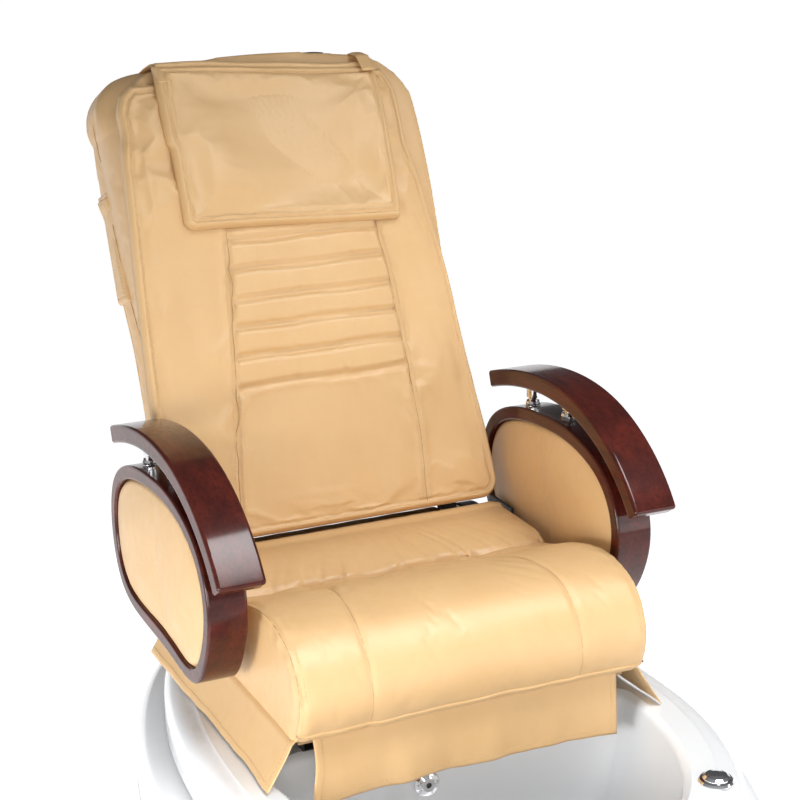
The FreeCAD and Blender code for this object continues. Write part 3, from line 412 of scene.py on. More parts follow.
def wood_material():
    """Dark mahogany under a thick gloss lacquer."""
    material, tree, place = start("mahogany_lacquer")
    figure = cloudy(tree, stretched(tree, place, (34.0, 7.0, 34.0)), 1.0, 5.0, 0.6)
    streak = cloudy(tree, stretched(tree, place, (260.0, 14.0, 260.0)), 1.0, 4.0, 0.6)
    pores = cloudy(tree, stretched(tree, place, (1100.0, 40.0, 1100.0)), 1.0, 3.0)
    grain = spread(tree, figure, 0.35, 0.68, 0.0, 1.0)
    colour = between(tree, grain, (0.042, 0.0058, 0.0038), (0.096, 0.0130, 0.0070))
    colour = between(tree, spread(tree, streak, 0.45, 0.72, 0.0, 0.65), colour, (0.020, 0.0040, 0.0034))
    colour = between(tree, spread(tree, pores, 0.60, 0.74, 0.0, 0.6), colour, (0.009, 0.003, 0.003))
    ripple = add(tree, "Bump", Strength=0.06, Distance=0.0006, Height=cloudy(tree, place, 26.0, 2.0))
    roughness = spread(tree, cloudy(tree, place, 90.0), 0.3, 0.7, 0.30, 0.42)
    finish_with(tree, colour, roughness, ripple.outputs[0], Specular_IOR_Level=0.05, Coat_Weight=0.80,
                Coat_Roughness=0.11, Coat_IOR=1.45)
    return material


def moulding_material(name, low, high, dust=(0.62, 0.63, 0.64)):
    """White gel coat: slow waviness, fine orange peel, faint wipe marks."""
    material, tree, place = start(name)
    colour = between(tree, cloudy(tree, place, 3.0), low, high)
    wipe = cloudy(tree, stretched(tree, place, (8.0, 60.0, 8.0)), 1.0, 5.0)
    colour = between(tree, spread(tree, wipe, 0.58, 0.8, 0.0, 0.10), colour, dust)
    wave = add(tree, "Bump", Strength=0.08, Distance=0.0025, Height=cloudy(tree, place, 9.0, 1.0))
    peel = add(tree, "Bump", Strength=0.06, Distance=0.0004, Height=cloudy(tree, place, 240.0, 2.0),
               Normal=wave.outputs[0])
    roughness = spread(tree, wipe, 0.35, 0.75, 0.10, 0.20)
    finish_with(tree, colour, roughness, peel.outputs[0], Coat_Weight=0.5, Coat_Roughness=0.05)
    return material


def metal_material(name, low, high, rough, brushed=(1, 1, 1), scale=60.0, bump=0.05):
    material, tree, place = start(name)
    field = cloudy(tree, stretched(tree, place, brushed), scale, 5.0)
    colour = between(tree, field, low, high)
    lines = add(tree, "Bump", Strength=bump, Distance=0.0002, Height=field)
    roughness = spread(tree, cloudy(tree, place, 35.0), 0.3, 0.7, rough[0], rough[1])
    finish_with(tree, colour, roughness, lines.outputs[0], metallic=1.0)
    return material


def plain_material(name, low, high, rough, grain=400.0, bump=0.2, scale=12.0, **fixed):
    """Moulded, painted or raw surface with a fine texture and slight variation."""
    material, tree, place = start(name)
    colour = between(tree, cloudy(tree, place, scale), low, high)
    texture = add(tree, "Bump", Strength=bump, Distance=0.0003, Height=cloudy(tree, place, grain, 2.0))
    roughness = spread(tree, cloudy(tree, place, 50.0), 0.3, 0.7, rough[0], rough[1])
    finish_with(tree, colour, roughness, texture.outputs[0], **fixed)
    return material


def plywood_material():
    material, tree, place = start("plywood")
    plies = add(tree, "TexWave", {"bands_direction": "Z"}, Vector=place, Scale=150.0, Distortion=0.6)
    grain = cloudy(tree, stretched(tree, place, (60.0, 5.0, 60.0)), 1.0, 5.0)
    colour = between(tree, grain, (0.62, 0.43, 0.24), (0.44, 0.28, 0.14))
    colour = between(tree, spread(tree, plies.outputs[1], 0.4, 0.8, 0.0, 0.35), colour, (0.30, 0.18, 0.09))
    bump = add(tree, "Bump", Strength=0.2, Distance=0.0004, Height=grain)
    finish_with(tree, colour, spread(tree, grain, 0.3, 0.7, 0.6, 0.8), bump.outputs[0])
    return material


leather = leather_material("tan_leather", (0.679, 0.449, 0.222), (0.601, 0.365, 0.158))
# A slightly darker copy of the tan leather for the backrest body, pocket, rear welt and tuck-in cloth: painted shade.
leather_painted_shade = leather_material("tan_leather_painted_shade", (0.655, 0.427, 0.212), (0.577, 0.351, 0.154))
thread = thread_material()
velcro = plain_material("hook_tape", (0.03, 0.03, 0.033), (0.08, 0.08, 0.085), (0.8, 0.95), 1800.0, 0.9)
slot_materials = {
    "leather": leather,
    "mahogany": wood_material(),
    "white_moulding": moulding_material("white_gel_coat", (0.83, 0.85, 0.87), (0.88, 0.895, 0.91)),
    "chrome": metal_material("chrome", (0.80, 0.81, 0.83), (0.90, 0.90, 0.91), (0.04, 0.10), scale=25.0, bump=0.01),
    "black_steel": plain_material("black_powder_coat", (0.018, 0.018, 0.02), (0.035, 0.035, 0.037), (0.35, 0.5),
                                  700.0, 0.35),
    "zinc_steel": metal_material("zinc_plate", (0.50, 0.50, 0.49), (0.68, 0.68, 0.66), (0.25, 0.42),
                                 (6, 1, 6), 70.0),
    "black_plastic": plain_material("black_plastic", (0.02, 0.02, 0.022), (0.045, 0.045, 0.048), (0.42, 0.58), 900.0),
    "grey_pipe": plain_material("grey_pipe", (0.42, 0.44, 0.45), (0.52, 0.54, 0.55), (0.38, 0.5), 300.0, 0.1),
    "plywood": plywood_material(),
    "rubber": plain_material("black_rubber", (0.022, 0.022, 0.022), (0.05, 0.05, 0.05), (0.68, 0.85), 650.0, 0.4),
    "roller_plastic": plain_material("roller_plastic", (0.05, 0.045, 0.04), (0.09, 0.08, 0.07), (0.2, 0.3), 250.0,
                                     0.05),
}
node_slot = {part["node"]: part["material_slot"] for part in frame["record"]["subparts"]}
for node_name, node in nodes.items():
    node.data.materials.clear()
    node.data.materials.append(slot_materials[node_slot[node_name]])


# ---- cloth -----------------------------------------------------------------
inflating = []


def inflate(piece, pins, pressure=4.0, growth=0.0, cap=0.010):
    """Asks for a cloth run on a cover: pins is how firmly each point is held, from 0 to 1."""
    inflating.append((piece, np.asarray(pins, float), pressure, growth, cap))


def coords(mesh):
    flat = np.empty(len(mesh.vertices) * 3)
    mesh.vertices.foreach_get("co", flat)
    return flat.reshape(-1, 3)


def set_coords(mesh, points):
    mesh.vertices.foreach_set("co", np.asarray(points, float).ravel())
    mesh.update()


def bake(piece):
    """The piece's mesh with its modifiers applied."""
    graph = bpy.context.evaluated_depsgraph_get()
    mesh = bpy.data.meshes.new_from_object(piece.evaluated_get(graph), depsgraph=graph)
    piece.modifiers.clear()
    old = piece.data
    piece.data = mesh
    mesh.name = piece.name
    bpy.data.meshes.remove(old)


def run_cloth():
    """Steps every waiting cover together and applies the result, with its travel capped."""
    for piece, pins, pressure, growth, _ in inflating:
        group = piece.vertex_groups.new(name="held")
        levels = np.round(pins * 20).astype(int)
        for level in range(1, 21):
            members = np.nonzero(levels == level)[0].tolist()
            if members:
                group.add(members, level / 20, "REPLACE")
        cloth = piece.modifiers.new("cloth", "CLOTH")
        cloth.settings.quality = 4
        cloth.settings.mass = 0.35
        cloth.settings.tension_stiffness = 18
        cloth.settings.compression_stiffness = 18
        cloth.settings.shear_stiffness = 6
        cloth.settings.bending_stiffness = 0.6
        cloth.settings.use_pressure = True
        cloth.settings.uniform_pressure_force = pressure
        cloth.settings.shrink_min = -growth
        cloth.settings.vertex_group_mass = "held"
        cloth.settings.effector_weights.gravity = 0
        cloth.collision_settings.use_collision = False
        cloth.point_cache.frame_start = 1
        cloth.point_cache.frame_end = 20
    for step in range(1, 21):
        bpy.context.scene.frame_set(step)
        bpy.context.view_layer.update()
    for piece, pins, pressure, growth, cap in inflating:
        before = coords(piece.data)
        bake(piece)
        move = coords(piece.data) - before
        size = np.linalg.norm(move, axis=1, keepdims=True)
        move *= cap * np.tanh(size / cap) / np.maximum(size, 1e-9)
        set_coords(piece.data, before + move)
        piece.vertex_groups.clear()
    bpy.context.scene.frame_set(1)
    inflating.clear()


def remeshed(name, node, voxel, material, body):
    """A copy of a CAD cushion as one even mesh."""
    piece = bpy.data.objects.new(name, nodes[node].data.copy())
    bpy.context.scene.collection.objects.link(piece)
    modifier = piece.modifiers.new("even", "REMESH")
    modifier.mode = "VOXEL"
    modifier.voxel_size = voxel
    bake(piece)
    piece.data.materials.clear()
    piece.data.materials.append(material)
    piece.data.shade_smooth()
    for _ in range(3):
        relax(piece.data, 0.5)
    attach(piece, body)
    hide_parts(node)
    return piece


def relax(mesh, amount, keep=None):
    """Moves each point towards the mean of its neighbours."""
    points = coords(mesh)
    edges = np.empty(len(mesh.edges) * 2, int)
    mesh.edges.foreach_get("vertices", edges)
    edges = edges.reshape(-1, 2)
    total = np.zeros_like(points)
    count = np.zeros(len(points))
    for a, b in ((0, 1), (1, 0)):
        np.add.at(total, edges[:, a], points[edges[:, b]])
        np.add.at(count, edges[:, a], 1)
    mean = total / np.maximum(count, 1)[:, None]
    weight = amount if keep is None else amount * (1 - keep)[:, None]
    set_coords(mesh, points + (mean - points) * weight)


def vertex_normals(mesh):
    mesh.update()
    flat = np.empty(len(mesh.vertices) * 3)
    mesh.vertices.foreach_get("normal", flat)
    return flat.reshape(-1, 3)


def subdivide(piece, levels=1):
    modifier = piece.modifiers.new("fine", "SUBSURF")
    modifier.levels = levels
    modifier.render_levels = levels
    bake(piece)
    piece.data.shade_smooth()


# ---- seat cushion ----------------------------------------------------------
SEAT_SECTION = [(-0.004, 0.640), (-0.008, 0.672), (-0.060, 0.673), (-0.150, 0.672), (-0.182, 0.666), (-0.215, 0.674),
                (-0.280, 0.700), (-0.330, 0.711), (-0.375, 0.717), (-0.420, 0.708), (-0.458, 0.690), (-0.482, 0.662),
                (-0.494, 0.630), (-0.487, 0.592), (-0.472, 0.556)]
seat = remeshed("seat_cushion_cover", "seat_cushion", 0.005, leather, "seat")
seat_rest = coords(seat.data)
held = bell(SEAT_HALF - np.abs(seat_rest[:, 0]), 0.010) * (seat_rest[:, 2] > BASE_Z + 0.03)
held = np.maximum(held, smooth((BASE_Z + 0.030 - seat_rest[:, 2]) / 0.02))
held = np.maximum(held, smooth((seat_rest[:, 1] - (HIP_Y - 0.05)) / 0.03))
LONG_SEAM = (0.141, 0.172)           # the long seams' distance from the middle: at the crease, at the front
CREASE_Y = HIP_Y - 0.180


def crease_wander(x):
    """How far the cross crease strays from a straight line."""
    return 0.003 * np.sin(x * 23)


def long_seam_x(y):
    """The long seams' distance from the middle, at one y."""
    return LONG_SEAM[0] + (LONG_SEAM[1] - LONG_SEAM[0]) * smooth((CREASE_Y - y) / 0.30)


on_top = smooth((seat_rest[:, 2] - 0.60) / 0.05)
held = np.maximum(held, 0.9 * bell(np.abs(seat_rest[:, 0]) - long_seam_x(seat_rest[:, 1]), 0.005)
                  * smooth((CREASE_Y - seat_rest[:, 1]) / 0.01) * (seat_rest[:, 2] > BASE_Z + 0.02))
held = np.maximum(held, 0.95 * bell(seat_rest[:, 1] - CREASE_Y, 0.006) * on_top)
inflate(seat, np.clip(held, 0, 1), pressure=4.0, growth=0.001, cap=0.018)

# ---- backrest body ---------------------------------------------------------
shell = remeshed("back_body_cover", "back_body", 0.006, leather_painted_shade, "backrest")
BODY_DEPTH = 0.200
SHOULDER = (0.157, 0.685)            # centre of the outline's round shoulder: x, and s up the back
SHOULDER_R = 0.105


def back_coords(points):
    sin, cos = math.sin(LEAN), math.cos(LEAN)
    dy, dz = points[:, 1] - HIP_Y, points[:, 2] - HIP_Z
    return points[:, 0], dy * cos - dz * sin, dy * sin + dz * cos


def full_shoulders(points):
    """The stuffed rear of the backrest stands out beyond its front outline, most at the shoulders."""
    x, d, s = back_coords(points)
    behind = smooth((d - face_depth(s) - 0.015) / 0.07)
    out, up = np.abs(x) - SHOULDER[0], s - SHOULDER[1]
    corner = np.sin(2 * np.arctan2(np.clip(up, 0, None), np.clip(out, 1e-6, None))) * (out > 0)
    reach = np.hypot(np.clip(out, 0, None), np.clip(up, 0, None)) / SHOULDER_R
    push = 0.020 * np.clip(corner, 0, 1) * np.clip(reach, 0, 1)
    angle = np.arctan2(np.clip(up, 0, None), np.clip(out, 1e-6, None))
    wider = 0.015 * smooth((s - 0.28) / 0.32) * smooth(np.abs(x) / 0.15) * np.cos(angle)
    x = x + np.sign(x) * behind * (wider + push * np.cos(angle))
    return back_place(x, d, s + behind * push * np.sin(angle))


def raised_bottom(points):
    """The body's lower front edge is drawn up so that it clears the seat when the back is upright."""
    x, d, s = back_coords(points)
    lift = 0.0058 * smooth((0.035 - s) / 0.030) * smooth((0.085 - (d - face_depth(s))) / 0.035)
    return back_place(x, d, s + lift)


shell_rest = raised_bottom(full_shoulders(coords(shell.data)))
set_coords(shell.data, shell_rest)
_, bd, bs = back_coords(shell_rest)
SIDE_SEAM = 0.128                    # depth of the seam line round the side wall
behind = bd - face_depth(bs)
held = np.maximum(bell(behind - SIDE_SEAM, 0.005), bell(behind - (BODY_DEPTH - 0.012), 0.008))
held = np.maximum(held, smooth((0.012 - behind) / 0.008))
held = np.maximum(held, smooth((0.03 - bs) / 0.02))
inflate(shell, np.clip(held, 0, 1), pressure=3.0, growth=0.008, cap=0.012)

# ---- back pad --------------------------------------------------------------
PAD_THICK = 0.019
PAD_SPAN = (-0.006, 0.757)
LEFT_SEAM = [(-0.02, -0.188), (0.089, -0.1766), (0.251, -0.1566), (0.480, -0.1342), (0.76, -0.118)]
RIGHT_SEAM = [(-0.02, 0.1455), (0.0145, 0.1475), (0.1245, 0.1532), (0.227, 0.1526), (0.365, 0.1486), (0.483, 0.1357),
              (0.76, 0.120)]
CORNER = 0.034
CHANNELS = (0.478, 0.4306, 0.3817, 0.3358, 0.2868, 0.2378)


def channel_wander(x, at):
    """How far the sewn channel at height s = at strays from a straight line."""
    return 0.0012 * np.sin(x * 31 + at * 40)


def corner_cut(s):
    """How far the rounded bottom corners of the pad draw its sides in."""
    t = np.clip((s - PAD_SPAN[0]) / CORNER, 0, 1)
    return CORNER * (1 - np.sqrt(1 - (1 - t) ** 2 * 0.97))


def pad_left(s):
    half = curve(s, [(-0.006, 0.302), (0.050, 0.3040), (0.126, 0.3050), (0.239, 0.302), (0.416, 0.2955),
                     (0.562, 0.2876),
                     (0.640, 0.281), (0.680, 0.2735), (0.700, 0.2735), (0.738, 0.262), (0.757, 0.242)])
    return -half + corner_cut(s)


def pad_right(s):
    half = curve(s, [(-0.006, 0.287), (0.010, 0.2865), (0.089, 0.2825), (0.195, 0.2725), (0.283, 0.264),
                     (0.379, 0.257),
                     (0.441, 0.249), (0.503, 0.238), (0.574, 0.2300), (0.620, 0.2215), (0.656, 0.2240),
                     (0.711, 0.2260),
                     (0.757, 0.2110)])
    return half - corner_cut(s)


def pad_place(x, s, h):
    return back_place(x, 0.001 + face_depth(s) - h, s)


def pad_height(x, s, d):
    left, right = curve(s, LEFT_SEAM), curve(s, RIGHT_SEAM)
    to_seam = np.minimum(np.abs(x - left), np.abs(x - right))
    middle = smooth((x - left) / 0.010) * smooth((right - x) / 0.010)
    h = rolled(d, 0.011, PAD_THICK)
    h -= 0.0040 * bell(d - 0.0135, 0.0032) * (d > 0.004)
    h -= 0.0042 * bell(to_seam, 0.0042) * smooth((d - 0.010) / 0.01)
    h += 0.0030 * smooth(to_seam / 0.05) * smooth((d - 0.014) / 0.03)
    ribs = np.zeros_like(h)
    for at in CHANNELS:
        ribs += bell(s - at - channel_wander(x, at), 0.0050)
    h -= 0.0074 * ribs * middle
    zone = smooth((s - 0.232) / 0.012) * smooth((0.500 - s) / 0.02) * middle
    h += 0.0038 * zone * (1 - np.clip(ribs, 0, 1))
    lower = smooth((0.225 - s) / 0.03) * smooth((s - 0.02) / 0.03) * smooth((d - 0.015) / 0.02)
    flat = np.stack([x, s * 0.16, x * 0], -1)
    h += 0.0038 * lower * noise(flat, 0.070, 11)
    sides = (1 - middle) * smooth((d - 0.016) / 0.02) * smooth((s - 0.03) / 0.05)
    h += 0.0038 * sides * noise(np.stack([x * 0.7 + s * 0.5, s * 0.30 - x * 0.4, x * 0], -1), 0.050, 12)
    pucker = bell(to_seam - 0.008, 0.009) * noise(np.stack([x * 0.25, s, x * 0], -1), 0.016, 14)
    h += 0.0008 * pucker * smooth((d - 0.014) / 0.01)
    hem = bell(d - 0.006, 0.006) * noise(np.stack([x, s, x * 0], -1), 0.030, 13)
    h += 0.0009 * hem
    tuck = bell(x + 0.275, 0.030) * bell(s - 0.640, 0.018)
    h += 0.0040 * tuck * smooth(d / 0.006)
    return np.maximum(h, 0.0)


pad, pad_outline = panel("back_pad_cover", pad_left, pad_right, PAD_SPAN, pad_place, pad_height, leather,
                         "backrest", 210, 165)
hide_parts("back_pad")


px, pd, ps = back_coords(coords(pad.data))
pad_flat = np.stack([px, ps], -1)
rim = distance_to(pad_flat, pad_outline, closed=True)
pad_up = 0.001 + face_depth(ps) - pd
seam_gap = np.minimum(np.abs(px - curve(ps, LEFT_SEAM)), np.abs(px - curve(ps, RIGHT_SEAM)))
held = np.maximum(smooth((0.015 - rim) / 0.004), bell(seam_gap, 0.004))
held = np.maximum(held, smooth((0.005 - pad_up) / 0.003))
in_middle = (px > curve(ps, LEFT_SEAM)) & (px < curve(ps, RIGHT_SEAM))
for at in CHANNELS:
    held = np.maximum(held, 0.85 * bell(ps - at, 0.004) * in_middle)
channel_hold = 0.35 * in_middle * smooth((ps - 0.235) / 0.02)
inflate(pad, np.clip(np.maximum(held, channel_hold), 0, 1), pressure=2.5, growth=0.014, cap=0.0050)

# ---- head pillow -----------------------------------------------------------
PILLOW_SPAN = (0.500, 0.787)


def pillow_left(s):
    return curve(s, [(0.500, -0.188), (0.506, -0.199), (0.516, -0.2045), (0.574, -0.2050), (0.636, -0.2035),
                     (0.652, -0.2090), (0.738, -0.2045), (0.787, -0.1970)])


def pillow_right(s):
    return curve(s, [(0.500, 0.172), (0.504, 0.1775), (0.520, 0.1790), (0.634, 0.1850), (0.725, 0.1930),
                     (0.787, 0.1960)])


def pillow_place(x, s, h):
    """The flap lies on the pad and rolls back over the top of the backrest at its upper hem."""
    over = np.clip(s - 0.758, 0, None)
    sag = -(0.015 + 0.008 * smooth((s - 0.60) / 0.18)) * smooth((x + 0.20) / 0.40)
    return back_place(x, -0.0185 + face_depth(s) - h + 9.0 * over**2, s + sag - 2.0 * over**2)


def pillow_height(x, s, d):
    h = rolled(d, 0.012, 0.0195)
    h += 0.0060 * smooth((d - 0.012) / 0.09)
    low = s - PILLOW_SPAN[0]
    h -= 0.0042 * bell(d - 0.0140, 0.0030) * (d > 0.004)
    h -= 0.0022 * bell(low - 0.0215, 0.0026) * smooth((d - 0.015) / 0.006)
    diagonal = np.stack([(x * 0.55 + s * 0.83) * 1.0, (x * 0.83 - s * 0.55) * 0.30, x * 0], -1)
    h += 0.0088 * smooth((d - 0.018) / 0.05) * noise(diagonal, 0.120, 21)
    h += 0.0016 * smooth((d - 0.016) / 0.03) * noise(diagonal, 0.050, 22)
    ripple = bell(d - 0.020, 0.012) * noise(np.stack([x, s, x * 0], -1), 0.020, 23)
    h += 0.0008 * ripple * smooth((d - 0.015) / 0.006)
    return np.maximum(h, 0.0)


pillow, pillow_outline = panel("head_pillow_cover", pillow_left, pillow_right, PILLOW_SPAN, pillow_place,
                               pillow_height, leather, "backrest", 110, 140)
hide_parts("head_pillow")
qx, qd, qs = back_coords(coords(pillow.data))
pillow_rim = distance_to(np.stack([qx, qs], -1), pillow_outline, closed=True)
pillow_up = -0.0185 + face_depth(qs) - qd
held = np.maximum(smooth((0.016 - pillow_rim) / 0.004), smooth((0.006 - pillow_up) / 0.003))
inflate(pillow, np.clip(held, 0, 1), pressure=3.0, growth=0.003, cap=0.008)

# ---- arm pads --------------------------------------------------------------
def outline_of(node, count=220):
    """Outline in y and z of a flat part lying in a plane of constant x."""
    points = coords(nodes[node].data)[:, 1:]
    centre = (points.min(0) + points.max(0)) / 2
    angle = np.arctan2(points[:, 1] - centre[1], points[:, 0] - centre[0])
    reach = np.linalg.norm(points - centre, axis=1)
    bins = np.linspace(-math.pi, math.pi, count + 1)
    slot_of = np.clip(np.digitize(angle, bins) - 1, 0, count - 1)
    far = np.zeros(count)
    np.maximum.at(far, slot_of, reach)
    mid = (bins[:-1] + bins[1:]) / 2
    known = far > 0
    far = np.interp(mid, mid[known], far[known], period=2 * math.pi)
    hull = centre + far[:, None] * np.stack([np.cos(mid), np.sin(mid)], -1)
    for _ in range(3):
        hull = (np.roll(hull, 1, 0) + 2 * hull + np.roll(hull, -1, 0)) / 4
    return resample(hull, count, closed=True), centre


def arm_panel(side, face):
    """One crowned leather panel of an armrest: side is left or right, face inner or outer."""
    node = f"arm_pad_{face}_{side}"
    low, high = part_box(node)
    outline, centre = outline_of(node)
    outer = face == "outer"
    away = 1 if (side == "left") == outer else -1
    base_x = (low.x if away > 0 else high.x) - away * 0.001
    rings = 30
    t = np.concatenate([[1.0], 1 - (1 - np.linspace(1, 0.02, rings)) * 1.0])
    height = []
    points = []
    thick = high.x - low.x - (0.006 if outer else 0.002)
    crown = 0.0050 if outer else 0.0035
    for k, scale in enumerate(t):
        loop = centre + (outline - centre) * scale
        rim_gap = distance_to(loop, outline, closed=True)
        h = 0 * rim_gap if k == 0 else thick * 0.62 + rolled(rim_gap, 0.010, thick * 0.38)
        h = h + (0 if k == 0 else crown * smooth(rim_gap / 0.075))
        if k > 0:
            seed = 31 + 2 * outer + (side == "left")
            soft = noise(np.stack([loop[:, 0], loop[:, 1], loop[:, 0] * 0], -1), 0.075, seed)
            h = h + 0.0009 * soft * smooth(rim_gap / 0.03)
        height.append(h)
        points.append(np.stack([base_x + away * h, loop[:, 0], loop[:, 1]], -1))
    count = len(outline)
    middle = np.array([[base_x + away * (thick + crown), centre[0], centre[1]]])
    back = np.array([[base_x, centre[0], centre[1]]])
    everything = np.vstack(points + [middle, back])
    faces = grid_faces(len(t), count, wrap=True).tolist()
    last = (len(t) - 1) * count
    faces += [[last + k, last + (k + 1) % count, len(everything) - 2] for k in range(count)]
    faces += [[(k + 1) % count, k, len(everything) - 1] for k in range(count)]
    piece = make(f"arm_pad_{face}_{side}_cover", everything, faces, leather, f"arm_{side}", weld=True)
    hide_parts(node)
    spots = coords(piece.data)
    gap = distance_to(spots[:, 1:], outline, closed=True)
    hold = np.maximum(smooth((0.008 - gap) / 0.004), ((spots[:, 0] - base_x) * away < 0.002).astype(float))
    inflate(piece, hold, pressure=1.5, growth=0.004, cap=0.004)
    return piece


arm_pads = [arm_panel(side, face) for side in ("left", "right") for face in ("inner", "outer")]
run_cloth()


# ---- seams, creases and thread ---------------------------------------------
# Darker leather for the thin lines in the seams' grooves: painted seam shade.
seam_shade_leather = leather_material("seam_shade_leather", (0.459, 0.277, 0.122), (0.370, 0.215, 0.089))


def carve(piece, depth):
    """Sinks each point along its normal by depth(points)."""
    points = coords(piece.data)
    set_coords(piece.data, points - vertex_normals(piece.data) * depth(points)[:, None])


def mirror_x(path):
    return np.asarray(path, float) * np.array([-1, 1, 1])


def seat_profile(x):
    """The cushion's side outline at one x, as a fine path."""
    section = resample(np.array(SEAT_SECTION), 120)
    return np.stack([np.full(120, x), HIP_Y + section[:, 0], section[:, 1]], -1)


seat_edge = seat_profile(SEAT_HALF - 0.001)
long_seam = seat_profile(0.0)
long_seam = long_seam[long_seam[:, 1] < CREASE_Y + 0.001]
long_seam[:, 0] = long_seam_x(long_seam[:, 1])
bottom_seam = np.array([[x, HIP_Y - 0.479, BASE_Z + 0.018] for x in np.linspace(-SEAT_HALF, SEAT_HALF, 60)])


def calm(path, times):
    """Takes the small zigzags out of an open path."""
    for _ in range(times):
        path[1:-1] = (path[:-2] + 2 * path[1:-1] + path[2:]) / 4


def seam_shade_line(name, paths, tree, body, radius=0.0006, sink=0.0002):
    """Fine dark line sunk in the groove where two panels are sewn together; its darker leather is painted seam shade.
    """
    points, faces = [], []
    for path in paths:
        total = np.linalg.norm(np.diff(path, axis=0), axis=1).sum()
        spots, normals = on_surface(path, tree, -sink, max(8, int(total / 0.005)))
        calm(spots, 5)
        some, more = tube_mesh(spots, radius, sides=6, normals=normals)
        faces += [[k + len(points) for k in face] for face in more]
        points += some.tolist()
    return make(name, points, faces, seam_shade_leather, body)


def seat_depth(p):
    side = np.minimum(distance_to(p, seat_edge), distance_to(p, mirror_x(seat_edge)))
    long = np.minimum(distance_to(p, long_seam), distance_to(p, mirror_x(long_seam)))
    top = smooth((p[:, 2] - 0.64) / 0.02) * (np.abs(p[:, 0]) < SEAT_HALF - 0.001)
    gap = p[:, 1] - CREASE_Y - crease_wander(p[:, 0])
    depth = 0.0030 * bell(side - 0.006, 0.0045) + 0.0034 * bell(long, 0.0045)
    depth += 0.0014 * bell(side - 0.014, 0.008) * noise(p * np.array([0, 1, 1]), 0.020, 46)
    depth += 0.0005 * bell(long - 0.008, 0.007) * noise(p * np.array([0, 1, 1]), 0.024, 47)
    between_seams = 0.45 + 0.55 * smooth((LONG_SEAM[0] + 0.030 - np.abs(p[:, 0])) / 0.04)
    depth += 0.0160 * bell(gap, 0.0060) * top * between_seams
    depth += 0.0065 * bell(gap + 0.055, 0.030) * top
    along_crease = 0.45 + 0.55 * smooth((noise(p * np.array([1, 0, 0]), 0.16, 45) + 0.6) / 1.2)
    fan = p * np.array([1, 0, 0]) + np.stack([gap * 0.5 * np.sin(p[:, 0] * 9), 0 * gap, 0 * gap], -1)
    reach = np.where(gap > 0, 0.048, 0.030)
    fold = np.clip(1 - np.abs(noise(fan, 0.034, 41)) / 0.30, 0, 1) ** 1.5
    fade = np.exp(-np.abs(gap) / reach) * smooth(np.abs(gap) / 0.003)
    depth += 0.0100 * fold * fade * top * along_crease * between_seams
    depth += 0.0030 * noise(fan, 0.018, 48) * np.exp(-np.abs(gap) / 0.012) * top * between_seams
    sweep_in = noise(fan, 0.060, 42) * np.exp(-np.abs(gap) / 0.07)
    depth += 0.0024 * sweep_in * top
    depth -= 0.0050 * smooth(np.abs(gap) / 0.05) * smooth((0.16 - np.abs(gap - 0.08)) / 0.1) * top * 0.6
    front = smooth((HIP_Y - 0.40 - p[:, 1]) / 0.05)
    depth += 0.0020 * front * noise(p, 0.16, 43, (0.5, 1, 1))
    under = smooth((BASE_Z + 0.045 - p[:, 2]) / 0.03)
    depth += 0.0012 * under * front * noise(p, 0.035, 44, (1, 0.3, 0.3))
    rear = smooth((p[:, 1] - HIP_Y + 0.030) / 0.02) * (p[:, 2] > 0.655)
    return depth - 0.0046 * rear


carve(seat, seat_depth)
subdivide(seat)
seat_skin = surface_of(seat)
for side in (1, -1):
    word = "left" if side > 0 else "right"
    rows = [np.stack([np.full(120, side * (SEAT_HALF - inset)), seat_edge[:, 1], seat_edge[:, 2]], -1)
            for inset in (0.004, 0.012)]
    stitching(f"seat_side_stitches_{word}", [rows[0][14:110], rows[1][14:110]], seat_skin, thread, "seat")
    seam_shade_line(f"seat_long_seam_shade_{word}", [long_seam * np.array([side, 1, 1])], seat_skin, "seat")
    seam_shade_line(f"seat_side_seam_shade_{word}", [(seat_edge * np.array([side, 1, 1]))[8:112]], seat_skin, "seat")
cross_x = np.linspace(-0.143, 0.143, 80)
cross_seam = np.stack([cross_x, CREASE_Y + crease_wander(cross_x), np.full(80, 0.652)], -1)
seam_shade_line("seat_cross_seam_shade", [cross_seam], seat_skin, "seat", 0.0009)
welt_path, welt_normals = on_surface(bottom_seam, seat_skin, 0.0006, 90)
tube("seat_bottom_welt", welt_path, 0.0034, leather, "seat", normals=welt_normals)


def body_edge(depth_at, count=40, inset=0.0):
    """Path round the backrest's side wall and top at a depth given by depth_at(s)."""
    path = []
    for s in np.linspace(0.0, SHOULDER[1], count):
        path.append((0.2567 + 0.0053 * (s + 0.06) / 0.745 - inset, s))
    for k in range(1, 13):
        a = k / 12 * math.pi / 2
        reach = SHOULDER_R - inset
        path.append((SHOULDER[0] + reach * math.cos(a), SHOULDER[1] + reach * math.sin(a)))
    for x in np.linspace(0.150, 0.0, 12):
        path.append((x, 0.790 + 0.012 * (1 - (x / SHOULDER[0]) ** 2) - inset))
    path += [(-x, s) for x, s in reversed(path[:-1])]
    path = np.array(path)
    return back_place(path[:, 0], depth_at(path[:, 1]), path[:, 1])


def side_seam_depth(s):
    return 0.118 + 0.024 * smooth(s / 0.7)


side_seam = body_edge(side_seam_depth)
rear_seam = body_edge(lambda s: BODY_DEPTH - 0.020 + 0 * s, inset=0.003)


def shell_depth(p):
    x, d, s = back_coords(p)
    gap = distance_to(p, side_seam)
    rear_gap = distance_to(p, rear_seam)
    depth = 0.0036 * bell(gap, 0.0048) + 0.0026 * bell(rear_gap, 0.005)
    wall = smooth((d - face_depth(s) - 0.01) / 0.02)
    depth += 0.0012 * wall * noise(np.stack([x * 0.3, d, s * 0.6], -1), 0.10, 51)
    back = smooth((d - BODY_DEPTH + 0.025) / 0.02)
    middle = bell(x, 0.0045) + bell(s - 0.30, 0.0045)
    depth += 0.0034 * middle * back
    depth += 0.0022 * back * noise(np.stack([x, d * 0, s * 0.7], -1), 0.14, 52)
    return depth


